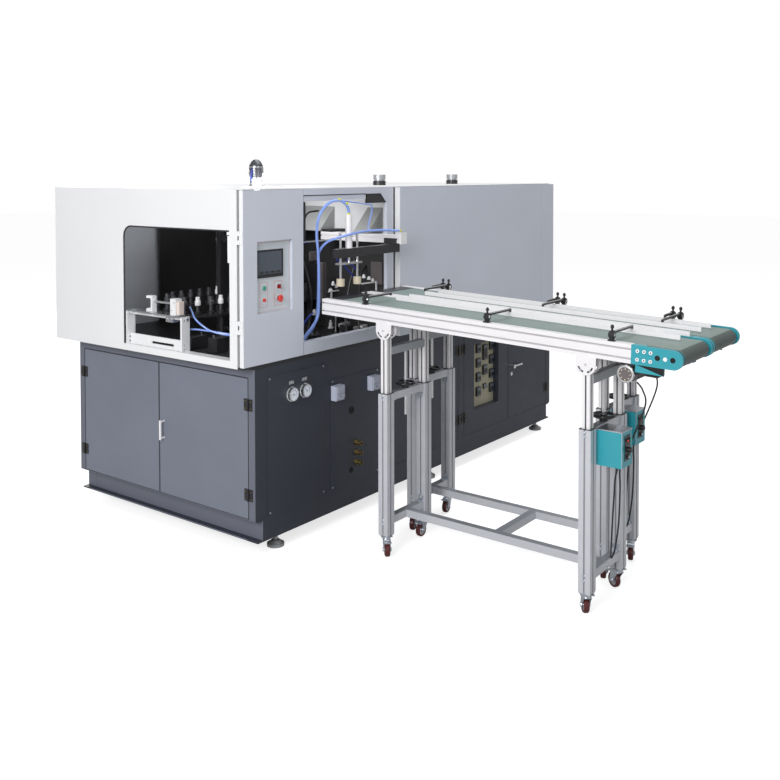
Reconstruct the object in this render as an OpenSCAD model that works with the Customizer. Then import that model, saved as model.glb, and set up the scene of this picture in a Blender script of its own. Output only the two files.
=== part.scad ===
/* [Base] */
// Length of the base cabinet
base_l = 3260; // [3000:10:3600]
// Width of the base cabinet
base_w = 1520; // [1400:10:1700]
// Height of the cabinet floor above the ground
base_z = 200; // [180:1:240]
// Height of the machine table's top
table_top = 1020; // [960:5:1100]
// Thickness of the machine table
table_t = 20; // [12:1:30]
// Thickness of the cabinet and door sheet
sheet_t = 4; // [2:0.5:6]
// Height of the plinth channel
plinth_h = 120; // [80:5:130]
// How far the plinth stands back at the two ends
plinth_inset = 55; // [45:1:90]
// Reach of the plinth channel's flanges
flange_reach = 39; // [20:1:44]
// Thickness of the channel's web and flanges
channel_t = 8; // [5:1:12]
// Radius of a levelling foot
foot_r = 47; // [35:1:60]
// Radius of a foot's threaded stud
stud_r = 12; // [8:1:16]
/* [Doors] */
// How far the base doors' top edge lies below the table
door_drop = 47; // [30:1:150]
// Gap around each flush door
door_gap = 3; // [2:0.5:5]
// Depth of a folded door pan
door_depth = 20; // [15:1:30]
// Width of the near end door
end_door_w = 718; // [500:1:760]
// Width of the middle door
middle_door_w = 752; // [500:1:800]
// Width of the controller door
controller_door_w = 600; // [500:1:640]
// Depth of the recess that holds the controllers
recess_depth = 50; // [35:1:70]
// Distance from a hinge pin to the door's face
hinge_out = 7; // [7:0.5:10]
// Height of a hinge
hinge_h = 62; // [50:1:90]
/* [Hood] */
// Height of the hood's roof
hood_top = 1943; // [1850:1:2050]
// Thickness of the hood's sheet
hood_t = 3; // [2:0.5:4]
// How far the hood passes the left end of the base
hood_over = 80; // [60:1:120]
// How far the hood passes the back of the base
hood_back_over = 123; // [60:1:160]
// Width of the operator door
hmi_door_w = 455; // [440:1:460]
// Depth of the operator door's fold
hmi_fold = 28; // [20:1:32]
// Depth of the recess for the operator panel
panel_recess = 18; // [12:1:20]
// Right edge of the front window, from the base's left end
window_r = 1135; // [1080:1:1160]
// How far the front window's sill lies above the table
sill_rise = 70; // [50:1:100]
// How far the front window's top lies below the roof
window_drop = 35; // [25:1:90]
// Left edge of the oven cover, from the base's left end
cover_l = 1215; // [1200:1:1300]
// How far the oven cover stands out from the front
cover_out = 40; // [25:1:60]
// Width of the end window
end_window_w = 875; // [700:1:900]
// How far the end window's top lies below the roof
end_window_drop = 212; // [160:1:340]
/* [Blow unit] */
// Distance between the two mould cavities
cavity_pitch = 148; // [120:1:170]
// Height of a mould half
mould_h = 230; // [180:1:280]
// Travel of each mould half
mould_open = 60; // [40:1:70]
// Travel of the take-out carriage
takeout_travel = 330; // [200:5:340]
// Lift of the gripper head
gripper_lift = 60; // [30:1:70]
// Radius of the stretch cylinder
stretch_r = 42; // [30:1:50]
/* [Conveyors] */
// Width of one conveyor over its beams
deck_w = 385; // [340:1:386]
// Distance between the two conveyors' centre lines
deck_pitch = 394; // [394:1:420]
// Height of a conveyor beam
beam_h = 85; // [80:1:95]
// Width of a conveyor beam and of an inner leg
beam_w = 40; // [36:1:42]
// Length of a conveyor beam
beam_l = 1800; // [1600:10:2000]
// Slope of the conveyors towards the discharge end
deck_tilt = 1.9; // [0:0.1:2.5]
// Height of the beams' top at the infeed end
deck_z = 1331; // [1300:1:1345]
// Length of an end plate past the beams
end_plate_l = 232; // [190:1:260]
// Radius of the end rollers
roller_r = 36; // [30:1:37]
// Thickness of the belt
belt_t = 3; // [2:0.5:4]
// Width of an outer leg
leg_w = 60; // [56:1:64]
// Height of the outer legs' top
leg_top = 860; // [800:1:900]
// Height of the outer legs' foot above the ground
leg_foot = 110; // [104:1:120]
// Distance between the two leg frames
frame_pitch = 1155; // [900:5:1300]
// Width of the T-slots
slot_w = 8; // [6:1:10]
// Radius of a handwheel
wheel_r = 57; // [45:1:70]
// Radius of a lift screw
screw_r = 10; // [8:1:12]
// Radius of a caster wheel
caster_r = 37; // [30:1:40]
// Width of a caster wheel
caster_w = 26; // [20:1:30]
/* [Hidden] */
$fn = 48;

// The origin is on the ground under the middle of the base cabinet.
left = -base_l / 2;
right = base_l / 2;
front = -base_w / 2;
back = base_w / 2;
table_under = table_top - table_t;
plinth_z = base_z - plinth_h;
door_z = base_z + 5;
door_top = table_under - door_drop;
clear = 0.3;

slate = [0.22, 0.24, 0.27];
door_grey = [0.42, 0.45, 0.50];
hood_white = [0.90, 0.91, 0.92];
panel_grey = [0.68, 0.71, 0.76];
silver = [0.80, 0.81, 0.83];
black = [0.08, 0.08, 0.09];
teal = [0.10, 0.60, 0.65];

// A box from one corner to the opposite corner.
module span_box(a, b) {
    translate(a) cube(b - a);
}

// Base
foot_x = [left + 212, left + 1662, right - 124];
foot_y = [front + 62, back - 62];

module plinth_channel_x(y, out) {
    // A channel that runs along the length, with its web on the outer side.
    web = out < 0 ? y : y + 2 * flange_reach - channel_t;
    x0 = left + plinth_inset;
    x1 = right - plinth_inset;
    span_box([x0, web, plinth_z], [x1, web + channel_t, base_z]);
    for (z = [plinth_z, base_z - channel_t])
        span_box([x0, y, z], [x1, y + 2 * flange_reach, z + channel_t]);
}

// The end channels and the middle beam lie between the two long channels.
module base_frame() {
    end_x = right - plinth_inset;
    cross_y = back - 2 * flange_reach - clear;
    beam_half = 30;
    color(slate) {
        plinth_channel_x(front, -1);
        plinth_channel_x(back - 2 * flange_reach, 1);
        for (m = [0, 1]) mirror([m, 0, 0]) {
            span_box([end_x - channel_t, -cross_y, plinth_z], [end_x, cross_y, base_z]);
            for (z = [plinth_z, base_z - channel_t])
                span_box([end_x - channel_t, -cross_y, z], [end_x + flange_reach, cross_y, z + channel_t]);
        }
        span_box([-beam_half, -cross_y, plinth_z], [beam_half, cross_y, base_z]);
    }
}

module levelling_feet() {
    pad_h = 16;
    cone_h = 16;
    for (x = foot_x, y = foot_y) translate([x, y, 0]) color(silver) rotate_extrude()
        polygon([[0, 0], [foot_r, 0], [foot_r, pad_h], [foot_r - 8, pad_h], [2 * stud_r, pad_h + cone_h],
            [stud_r, pad_h + cone_h + 2], [stud_r, plinth_z], [0, plinth_z]]);
}

// Positions along the front, from the cabinet's left end.
service_w = 1080;
middle_x1 = left + 1932;
middle_x0 = middle_x1 - middle_door_w;
control_x0 = left + 2006;
control_x1 = control_x0 + controller_door_w;
right_x0 = control_x1 + door_gap;
right_x1 = right - 65;
end_y0 = front + 50;
end_y1 = end_y0 + end_door_w;
end_y2 = end_y1 + door_gap;
end_y3 = end_y2 + end_door_w - 17;
gauge_x = [left + 90, left + 551];
service_x = [left + 598, left + 1046];
gauge_top = door_top - 5;
service_top = 844;

wall_x = [left + service_w, left + 1969];

// A floor, four walls and two partitions, with the door openings cut in the front and in the left end.
module base_cabinet() {
    t = sheet_t;
    wall_z = base_z + t + clear;
    y0 = front + t + clear;
    y1 = back - t - clear;
    cut_z = [door_z - door_gap, door_top + door_gap];
    panel_z = door_z + 30;
    color(slate) {
        span_box([left, front, base_z], [right, back, base_z + t]);
        span_box([left, back - t, wall_z], [right, back, table_under]);
        span_box([right - t, y0, wall_z], [right, y1, table_under]);
        for (x = wall_x) span_box([x - t, y0, wall_z], [x + t, y1, table_under]);
        difference() {
            span_box([left, y0, wall_z], [left + t, y1, table_under]);
            span_box([left - 1, end_y0 - door_gap, cut_z[0]], [left + t + 1, end_y3 + door_gap, cut_z[1]]);
        }
        difference() {
            span_box([left, front, wall_z], [right, front + t, table_under]);
            span_box([middle_x0 - door_gap, front - 1, cut_z[0]], [middle_x1 + door_gap, front + t + 1,
                cut_z[1]]);
            span_box([control_x0 - door_gap, front - 1, cut_z[0]], [right_x1 + door_gap, front + t + 1,
                cut_z[1]]);
            span_box([gauge_x[0] + 30, front - 1, panel_z], [gauge_x[1] - 30, front + t + 1, gauge_top - 38]);
            span_box([service_x[0] + 30, front - 1, panel_z], [service_x[1] - 30, front + t + 1,
                service_top - 34]);
        }
    }
}

// Centres of what is mounted on the two service panels.
gauge_at = [[left + 273, 826], [left + 378, 828]];
gauge_r = 36;
gauge_stem_r = 7;
socket_at = [[left + 640, 768], [left + 974, 767]];
port_at = [left + 784, 635];
port_r = 17;
fitting_at = [[left + 826, 436], [left + 826, 378], [left + 826, 320]];
fitting_r = 13;
cover_t = 3;

module service_panels() {
    color(slate) difference() {
        union() {
            span_box([gauge_x[0], front - cover_t, door_z], [gauge_x[1], front, gauge_top]);
            span_box([service_x[0], front - cover_t, door_z], [service_x[1], front, service_top]);
        }
        for (g = gauge_at) translate([g[0], front, g[1]]) rotate([90, 0, 0])
            cylinder(r = gauge_stem_r, h = 12,
            center = true);
        for (f = fitting_at) translate([f[0], front, f[1]]) rotate([90, 0, 0]) cylinder(r = fitting_r, h = 12,
            center = true);
        translate([port_at[0], front, port_at[1]]) rotate([90, 0, 0])
            cylinder(r = port_r, h = 12, center = true);
        translate([left + 779, front, 281]) rotate([90, 0, 0]) cylinder(r = fitting_r, h = 12, center = true);
    }
}

module pressure_gauges() {
    for (g = gauge_at) translate([g[0], front - cover_t, g[1]]) rotate([90, 0, 0]) color(silver)
        difference() {
        union() {
            cylinder(r = gauge_r, h = 22);
            cylinder(r = gauge_r + 4, h = 3);
            translate([0, 0, -25]) cylinder(r = gauge_stem_r - clear, h = 26);
        }
        translate([0, 0, 19]) cylinder(r = gauge_r - 4, h = 10);
    }
}

module socket_boxes() {
    for (s = socket_at) translate([s[0], front - cover_t, s[1]]) color([0.62, 0.64, 0.70]) union() {
        span_box([-38, -38, -42], [38, 0, 42]);
        span_box([-33, -44, -37], [33, -37, 37]);
    }
}

module pipe_fittings() {
    for (f = fitting_at) translate([f[0], front, f[1]]) rotate([90, 0, 0]) color([0.55, 0.45, 0.22]) union() {
        translate([0, 0, -20]) cylinder(r = fitting_r - clear, h = 26);
        translate([0, 0, cover_t]) cylinder(r = 19, h = 14, $fn = 6);
        translate([0, 0, cover_t + 14]) difference() {
            cylinder(r = 13, h = 30);
            translate([0, 0, 8]) cylinder(r = 9, h = 30);
        }
    }
}

// Hinges. The pin is the local Z axis, the door lies towards +X and outwards is -Y.
leaf_w = 30;
leaf_t = 4;
knuckle_r = 6;
pin_r = 3;
mid_h = 24;
end_h = (hinge_h - mid_h) / 2 - clear;

module leaf_plate() {
    span_box([8, hinge_out - leaf_t, -hinge_h / 2], [leaf_w, hinge_out, hinge_h / 2]);
}

module frame_leaf() {
    union() {
        mirror([1, 0, 0]) leaf_plate();
        span_box([-9, hinge_out - leaf_t, -mid_h / 2], [-pin_r, hinge_out, mid_h / 2]);
        cylinder(r = knuckle_r, h = mid_h, center = true);
        cylinder(r = pin_r, h = hinge_h, center = true);
    }
}

module door_leaf() {
    difference() {
        union() {
            leaf_plate();
            for (s = [-1, 1]) translate([0, 0, s * (hinge_h - end_h) / 2]) {
                cylinder(r = knuckle_r, h = end_h, center = true);
                translate([0, 0, -end_h / 2])
                    span_box([pin_r + 1, hinge_out - leaf_t, 0], [9, hinge_out, end_h]);
            }
        }
        cylinder(r = pin_r + clear, h = hinge_h + 2, center = true);
    }
}

hinge_z = [335, 812];
front_pin_y = front - hinge_out;
end_pin_x = left - hinge_out;
middle_pin_x = middle_x1 + door_gap / 2;
control_pin_x = control_x0 - door_gap / 2;
right_pin_x = right_x1 + door_gap / 2;
end_pin_y_near = end_y0 - door_gap / 2;
end_pin_y_far = end_y3 + door_gap / 2;

// Puts a hinge at each height on a door's pin line. side is 1 where the door lies towards +X or +Y.
module at_front_hinges(x, side) {
    for (z = hinge_z) translate([x, front_pin_y, z]) mirror([side < 0 ? 1 : 0, 0, 0]) children();
}

module at_end_hinges(y, side) {
    for (z = hinge_z) translate([end_pin_x, y, z]) rotate([0, 0, -90])
        mirror([side > 0 ? 1 : 0, 0, 0]) children();
}

// A folded door pan on the front face, with its outer side flush with the cabinet.
module door_pan(x0, x1) {
    difference() {
        span_box([x0, front, door_z], [x1, front + door_depth, door_top]);
        span_box([x0 + 2, front + 2, door_z + 2], [x1 - 2, front + door_depth + 1, door_top - 2]);
    }
}

module end_door(y0, y1) {
    difference() {
        span_box([left, y0, door_z], [left + door_depth, y1, door_top]);
        span_box([left + 2, y0 + 2, door_z + 2], [left + door_depth + 1, y1 - 2, door_top - 2]);
    }
}

hmi_hinge_z = [1229, 1693];

module door_hinges() {
    color(black) at_front_hinges(middle_pin_x, -1) frame_leaf();
    color(black) at_front_hinges(control_pin_x, 1) frame_leaf();
    color(black) at_front_hinges(right_pin_x, -1) frame_leaf();
    color(black) at_end_hinges(end_pin_y_near, 1) frame_leaf();
    color(black) at_end_hinges(end_pin_y_far, -1) frame_leaf();
    color(hood_white) hmi_frame_leaf();
}

module end_door_left() {
    color(door_grey) end_door(end_y2, end_y3);
    color(black) at_end_hinges(end_pin_y_far, -1) door_leaf();
}

pull_y = end_y1 - 40;
pull_z = 574;
pull_h = 110;

module end_door_right() {
    color(door_grey) end_door(end_y0, end_y1);
    color(black) at_end_hinges(end_pin_y_near, 1) door_leaf();
}

module end_door_handle() {
    color(silver) translate([left, pull_y, pull_z]) union() {
        for (s = [-1, 1]) translate([0, 0, s * (pull_h / 2 - 8)]) rotate([0, -90, 0]) cylinder(r = 6, h = 28);
        translate([-28, 0, 0]) cylinder(r = 7, h = pull_h, center = true);
    }
}

module middle_door() {
    color(slate) door_pan(middle_x0, middle_x1);
    color(black) at_front_hinges(middle_pin_x, -1) door_leaf();
}

recess_x = [left + 2138, left + 2470];
recess_z = [362, 822];
lever_at = [right_x0 + 50, 588];
lever_boss_r = 14;

module controller_door() {
    rim = 2;
    color(slate) difference() {
        union() {
            door_pan(control_x0, control_x1);
            span_box([recess_x[0] - rim, front, recess_z[0] - rim],
                [recess_x[1] + rim, front + recess_depth, recess_z[1] + rim]);
        }
        span_box([recess_x[0], front - 1, recess_z[0]],
            [recess_x[1], front + recess_depth - rim, recess_z[1]]);
    }
    color(black) at_front_hinges(control_pin_x, 1) door_leaf();
}

// Temperature controllers stand on a plate in the recess: two outer columns of four, and a middle column.
module temperature_controllers() {
    floor_y = front + recess_depth - 2;
    row_pitch = 103;
    plate_t = 3;
    module unit(x, z, w, h) {
        span_box([x - w / 2, floor_y - plate_t - 14, z - h / 2], [x + w / 2, floor_y - plate_t + 1,
            z + h / 2]);
    }
    color([0.55, 0.54, 0.42]) union() {
        span_box([recess_x[0] + 1, floor_y - plate_t, recess_z[0] + 1],
            [recess_x[1] - 1, floor_y, recess_z[1] - 1]);
        for (i = [0:3], x = [recess_x[0] + 116, recess_x[1] - 36])
            unit(x, recess_z[0] + 105 + i * row_pitch, 54, 64);
        unit(recess_x[0] + 205, recess_z[1] - 85, 54, 110);
        unit(recess_x[0] + 205, recess_z[1] - 212, 54, 70);
        unit(recess_x[0] + 205, recess_z[1] - 330, 40, 34);
    }
}

module right_door() {
    color(slate) difference() {
        door_pan(right_x0, right_x1);
        translate([lever_at[0], front, lever_at[1]]) rotate([90, 0, 0]) cylinder(r = lever_boss_r - 4, h = 50,
            center = true);
    }
    color(black) at_front_hinges(right_pin_x, -1) door_leaf();
}

module door_lever() {
    spindle_r = lever_boss_r - 4 - clear;
    color(silver) translate([lever_at[0], front, lever_at[1]]) rotate([90, 0, 0]) union() {
        translate([0, 0, -28]) cylinder(r = spindle_r, h = 30);
        translate([0, 0, clear]) cylinder(r = lever_boss_r, h = 30);
        translate([0, 0, 20]) rotate([0, 90, 0]) cylinder(r = 7, h = 118);
        translate([118, 0, 20]) sphere(r = 8);
        span_box([-8, -12, -28], [8, 55, -24]);
    }
}

// Machine table and hood
hood_l = left - hood_over;
hood_r = right - 20;
hood_b = back + hood_back_over;
hood_skirt = table_top - 8;
roof_z = hood_top - hood_t;
window_sill = table_top + sill_rise;
window_head = roof_z - window_drop;
end_window_head = roof_z - end_window_drop;
mould_x = left + 660;
mould_y = front + 650;
front_panel_l = left + 383;
front_panel_r = left + 1197;
win_r = left + window_r;
partition_x = front_panel_r - hood_t;

// The part over the cabinet is full thickness; the overhang stands inside the hood's skirt.
module machine_table() {
    color(slate) union() {
        span_box([left, front, table_under], [hood_r - 4, back, table_top]);
        span_box([hood_l + hood_t + clear, front, hood_skirt + 1], [hood_r - 4, hood_b - hood_t - clear,
            table_top]);
    }
}

// A lean-to sheet cover on the partition, open underneath, over a feed slot behind it.
duct_z = 1660;
duct_h = 150;
duct_reach = 150;
module duct_cover(y0, y1) {
    module wedge(inset) {
        polygon([[0, inset], [-duct_reach + 2 * inset, inset], [0, duct_h - inset]]);
    }
    translate([partition_x + hood_t - clear, y1, duct_z]) rotate([90, 0, 0]) difference() {
        linear_extrude(y1 - y0) wedge(0);
        translate([-hood_t, -2 * hood_t, hood_t]) linear_extrude(y1 - y0 - 2 * hood_t) wedge(hood_t);
    }
}

module hood_shell() {
    under_roof = roof_z - clear;
    inner_y = hood_b - hood_t - clear;
    color(hood_white) for (y = [[front + 80, front + 200], [front + 475, front + 950]])
        duct_cover(y[0], y[1]);
    color(hood_white) difference() {
        span_box([hood_l, front, roof_z], [hood_r, hood_b, hood_top]);
        translate([mould_x, mould_y, roof_z - 1]) cylinder(r = stretch_r + 4, h = hood_t + 2);
    }
    color(hood_white) {
        span_box([hood_l, hood_b - hood_t, hood_skirt], [hood_r, hood_b, under_roof]);
        span_box([hood_r - hood_t, front, hood_skirt], [hood_r, inner_y, under_roof]);
        span_box([partition_x + hood_t, front, table_top], [partition_x + 2 * hood_t, inner_y, under_roof]);
    }
}

end_win_y = front + 100;
end_win_z = table_top + 30;
end_win_round = 60;

module hood_end_panel() {
    y0 = front + 45;
    y1 = hood_b - hood_t - clear;
    fold = 25;
    color(hood_white) difference() {
        union() {
            span_box([hood_l, y0, hood_skirt], [hood_l + hood_t, y1, roof_z]);
            span_box([hood_l, y0, table_top + 1], [hood_l + fold, y0 + hood_t, roof_z]);
            span_box([hood_l, y0, roof_z - hood_t], [hood_l + fold, y1, roof_z]);
            span_box([hood_l, end_win_y - hood_t, table_top + 1], [hood_l + fold, end_win_y,
                end_window_head]);
            span_box([hood_l, end_win_y - hood_t, end_win_z - hood_t],
                [hood_l + 60, end_win_y + end_window_w, end_win_z]);
        }
        translate([hood_l - 1, end_win_y, end_win_z]) rotate([90, 0, 90]) linear_extrude(hood_t + 2) union() {
            square([end_window_w, end_window_head - end_win_z - end_win_round]);
            square([end_window_w - end_win_round, end_window_head - end_win_z]);
            translate([end_window_w - end_win_round, end_window_head - end_win_z - end_win_round])
                circle(r = end_win_round);
        }
    }
}

module hood_front_panel() {
    fold = 25;
    chamfer = 62;
    color(panel_grey) union() {
        translate([0, front + hood_t, 0]) rotate([90, 0, 0]) linear_extrude(hood_t) polygon([
            [front_panel_l, table_top + 2], [front_panel_r, table_top + 2], [front_panel_r, roof_z],
            [front_panel_l, roof_z], [front_panel_l, window_head], [win_r - chamfer, window_head],
            [win_r, window_head - chamfer], [win_r, window_sill], [front_panel_l, window_sill]]);
        span_box([win_r, front + hood_t, window_sill], [win_r + hood_t, front + fold, window_head - chamfer]);
        span_box([partition_x, front + hood_t, table_top + 2], [front_panel_r, front + fold, roof_z]);
        span_box([front_panel_l, front + hood_t, window_sill - hood_t],
            [win_r + hood_t, front + fold + 20, window_sill]);
        difference() {
            span_box([front_panel_l, front + hood_t, window_head - 34], [left + 930, front + fold,
                window_head + 4]);
            span_box([front_panel_l - 1, front + 2 * hood_t, window_head - 40],
                [left + 940, front + fold - hood_t, window_head]);
        }
    }
}

module oven_cover() {
    x0 = left + cover_l;
    seam_x = right - 208;
    skirt = hood_skirt + 4;
    color(panel_grey) difference() {
        span_box([x0, front - cover_out, skirt], [hood_r, front, roof_z - 2]);
        span_box([x0 + hood_t, front - cover_out + hood_t, skirt + hood_t],
            [hood_r - hood_t, front + 1, roof_z - 2 - hood_t]);
        span_box([seam_x, front - cover_out - 1, skirt - 1], [seam_x + 3, front - cover_out + 1.5, roof_z]);
    }
}

module roof_vents() {
    vent_r = 44;
    for (x = [left + 1660, right - 700]) translate([x, front + 467, hood_top]) color(silver) union() {
        cylinder(r = vent_r, h = 30);
        translate([0, 0, 30]) cylinder(r = vent_r - 8, h = 8);
        translate([0, 0, 38]) cylinder(r = vent_r - 2, h = 34);
    }
}

// Operator door
hmi_x0 = hood_l + 2;
hmi_x1 = hmi_x0 + hmi_door_w;
hmi_z0 = table_top + 2;
hmi_z1 = roof_z - 2;
pin_x = hood_l - 8;
pin_y = front + 37;
tray_x = [left + 22, left + 288];
tray_z = [1287, 1668];
panel_t = 3;
panel_face = front + panel_recess;
button_x = [left + 86, left + 195];
button_z = [1356, 1420];
ring_r = 14;
cap_r = 10;

module hmi_knuckles() {
    for (z = hmi_hinge_z) translate([pin_x, pin_y, z]) children();
}

module hmi_door() {
    color(panel_grey) union() {
        difference() {
            span_box([hmi_x0, front, hmi_z0], [hmi_x1, front + hmi_fold, hmi_z1]);
            span_box([hmi_x0 + hood_t, front + hood_t, hmi_z0 + hood_t],
                [hmi_x1 - hood_t, front + hmi_fold + 1, hmi_z1 - hood_t]);
            span_box([tray_x[0], front - 1, tray_z[0]], [tray_x[1], front + hmi_fold, tray_z[1]]);
        }
        difference() {
            span_box([tray_x[0] - 2, front, tray_z[0] - 2],
                [tray_x[1] + 2, panel_face + panel_t + 2, tray_z[1] + 2]);
            span_box([tray_x[0], front - 1, tray_z[0]], [tray_x[1], panel_face + panel_t, tray_z[1]]);
            for (x = button_x, z = button_z) translate([x, front + panel_recess, z]) rotate([90, 0, 0])
                cylinder(r = cap_r, h = 20, center = true);
        }
        hmi_knuckles() difference() {
            union() {
                for (s = [-1, 1]) translate([0, 0, s * 23]) {
                    cylinder(r = knuckle_r, h = 24 - clear, center = true);
                    translate([0, 0, -12 + clear / 2]) span_box([2, -20, 0], [10, -3, 24 - clear]);
                }
                span_box([6, -35, -35], [10, -10, 35]);
            }
            cylinder(r = pin_r + clear, h = 80, center = true);
        }
    }
}

module hmi_frame_leaf() {
    hmi_knuckles() union() {
        cylinder(r = pin_r, h = 70, center = true);
        cylinder(r = knuckle_r, h = 22, center = true);
        span_box([2, 3, -11], [8, 9, 11]);
        span_box([4, 9, -35], [8, 34, 35]);
    }
}

// The plate carries a touch screen and the rings of two buttons, a selector and an emergency stop.
module operator_panel() {
    screen_x = [left + 30, left + 229];
    screen_z = [1474, 1622];
    rim = 9;
    color([0.83, 0.85, 0.87]) difference() {
        union() {
            span_box([tray_x[0] + 1, panel_face, tray_z[0] + 1], [tray_x[1] - 1, panel_face + panel_t,
                tray_z[1] - 1]);
            span_box([screen_x[0], panel_face - 6, screen_z[0]], [screen_x[1], panel_face, screen_z[1]]);
            for (x = button_x, z = button_z) translate([x, panel_face, z]) rotate([90, 0, 0])
                cylinder(r = ring_r, h = 6);
        }
        span_box([screen_x[0] + rim, panel_face - 7, screen_z[0] + 2 * rim],
            [screen_x[1] - rim, panel_face - 4.5, screen_z[1] - rim]);
        for (x = button_x, z = button_z) translate([x, panel_face, z]) rotate([90, 0, 0]) {
            translate([0, 0, -10]) cylinder(r = 7, h = 30);
            cylinder(r = cap_r + 0.5, h = 10);
        }
    }
}

// A control's own frame has +Z pointing out of the panel.
module at_button(i, j) {
    translate([button_x[i], panel_face, button_z[j]]) rotate([90, 0, 0]) children();
}

module push_cap() {
    translate([0, 0, -8]) cylinder(r = 6, h = 13);
    translate([0, 0, 4.5]) cylinder(r = cap_r, h = 5);
}

module start_button() {
    color("seagreen") at_button(0, 1) push_cap();
}

module stop_button() {
    color("firebrick") at_button(0, 0) push_cap();
}

module selector_knob() {
    color(black) at_button(1, 1) union() {
        translate([0, 0, -8]) cylinder(r = 6, h = 15);
        translate([0, 0, 6.5]) cylinder(r = cap_r + 2, h = 4);
        span_box([-3.5, -11, 10], [3.5, 11, 20]);
    }
}

module emergency_stop() {
    color("red") at_button(1, 0) union() {
        translate([0, 0, -8]) cylinder(r = 6, h = 22);
        translate([0, 0, 12]) rotate_extrude()
            polygon([[0, 0], [13, 0], [19, 5], [19, 10], [14, 14], [0, 15]]);
    }
}

// Blow unit
platen_t = 30;
mould_t = 68;
platen_w = 300;
platen_gap = 2 * (mould_t + mould_open + 32);
platen_top = 1640;
bridge_z = 1740;
mould_z = 1325;
ram_r = 22;
tie_r = 16;
cups_x = [mould_x - cavity_pitch / 2, mould_x + cavity_pitch / 2];

// Two black platens on four tie bars, with a bridge above that carries the stretch cylinder.
module clamp_frame() {
    half_w = platen_w / 2;
    depth = platen_gap + 2 * platen_t;
    color(black) translate([mould_x, mould_y, 0]) difference() {
        union() {
            for (m = [0, 1]) mirror([0, m, 0]) {
                span_box([-half_w, platen_gap / 2, table_top + 20], [half_w, platen_gap / 2 + platen_t,
                    platen_top]);
                for (x = [-half_w, half_w - 30])
                    span_box([x, platen_gap / 2, platen_top], [x + 30, platen_gap / 2 + platen_t, bridge_z]);
            }
            span_box([-half_w, -depth / 2, table_top], [half_w, depth / 2, table_top + 20]);
            span_box([-half_w, -depth / 2, bridge_z], [half_w, depth / 2, bridge_z + 20]);
        }
        for (s = [-1, 1]) translate([0, s * (platen_gap + platen_t) / 2, mould_z + mould_h / 2])
            rotate([90, 0, 0])
            cylinder(r = ram_r + 0.5, h = platen_t + 2, center = true);
    }
    color(silver) for (x = [-half_w + 26, half_w - 26], z = [1072, platen_top - 26])
        translate([mould_x + x, mould_y, z]) rotate([90, 0, 0])
            cylinder(r = tie_r, h = platen_gap, center = true);
}

// One mould half, closed at the parting plane. Local -Y is the way it opens.
module mould_half() {
    difference() {
        union() {
            span_box([-cavity_pitch / 2 - 62, -mould_t, mould_z], [cavity_pitch / 2 + 62, -0.1,
                mould_z + mould_h]);
            translate([0, -mould_t + 1, mould_z + mould_h / 2]) rotate([90, 0, 0])
                cylinder(r = ram_r, h = platen_gap / 2 - mould_t + platen_t + 20);
        }
        for (x = [-1, 1]) translate([x * cavity_pitch / 2, 0, mould_z]) {
            translate([0, 0, 20]) cylinder(r = 33, h = mould_h - 50);
            translate([0, 0, mould_h - 30]) cylinder(r1 = 33, r2 = 16, h = 22);
            translate([0, 0, -1]) cylinder(r = 13, h = 30);
        }
    }
}

module mould_front() {
    color(silver) translate([mould_x, mould_y, 0]) mould_half();
}

module mould_back() {
    color(silver) translate([mould_x, mould_y, 0]) mirror([0, 1, 0]) mould_half();
}

module stretch_cylinder() {
    top = 2075;
    color(silver) translate([mould_x, mould_y, 0]) rotate_extrude()
        polygon([[0, bridge_z + 20], [62, bridge_z + 20],
        [62, bridge_z + 32], [stretch_r, bridge_z + 32], [stretch_r, top], [stretch_r - 5, top + 10],
        [stretch_r - 14, top + 24], [16, top + 34], [0, top + 36]]);
}

// Take-out slide
guide_x = left + 1080;
guide_z = 1630;
guide_w = 50;
takeout_y = front - 90;
guide_y = [takeout_y - 80, takeout_y + takeout_travel + 230];
beam_z = 1550;
beam_t = 50;
rod_r = 7;
piston_r = 8;
lift_r = 20;
lift_top = beam_z + beam_t + gripper_lift + 130;
head_z = 1510;
cup_r = 23;
cup_z = 1390;

module takeout_guide() {
    groove = 6;
    half = guide_w / 2;
    color(silver) difference() {
        union() {
            span_box([guide_x - half, guide_y[0] + 12, guide_z - half], [guide_x + half, guide_y[1],
                guide_z + half]);
            span_box([guide_x - half - 4, guide_y[0], guide_z - half - 4],
                [guide_x + half + 4, guide_y[0] + 12, guide_z + half + 14]);
        }
        for (s = [-1, 1]) translate([guide_x + s * half, guide_y[0] + 12, guide_z]) span_box([-groove, 0, -5],
            [groove, guide_y[1] - guide_y[0], 5]);
    }
    color(black) span_box([guide_x - half, front + 380, guide_z + half], [partition_x + hood_t,
        front + 460, guide_z + half + 16]);
}

module takeout_carriage() {
    half = guide_w / 2;
    lip = 4;
    cheek = 10;
    y0 = takeout_y - 45;
    y1 = takeout_y + 45;
    color(black) difference() {
        union() {
            span_box([guide_x - half - clear - cheek, y0, beam_z + beam_t],
                [guide_x + half + clear + cheek, y1, guide_z + 4.5]);
            span_box([cups_x[0] - 40, takeout_y - 22, beam_z], [guide_x + half + clear + cheek,
                takeout_y + 22,
                beam_z + beam_t]);
        }
        span_box([guide_x - half - clear, y0 - 1, guide_z - half - clear],
            [guide_x + half + clear, y1 + 1, guide_z + half]);
        for (x = cups_x) translate([x, takeout_y, beam_z - 1]) cylinder(r = rod_r + clear, h = beam_t + 2);
        translate([mould_x, takeout_y, beam_z - 1]) cylinder(r = piston_r + clear, h = beam_t + 2);
    }
    color(black) for (m = [0, 1]) translate([guide_x, 0, guide_z]) mirror([m, 0, 0])
        span_box([half - lip + clear, y0, -4.5], [half + clear + 0.01, y1, 4.5]);
    color(silver) difference() {
        translate([mould_x, takeout_y, beam_z + beam_t]) cylinder(r = lift_r, h = lift_top - beam_z - beam_t);
        translate([mould_x, takeout_y, beam_z]) cylinder(r = piston_r + clear, h = lift_top - beam_z - 15);
    }
}

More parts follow.
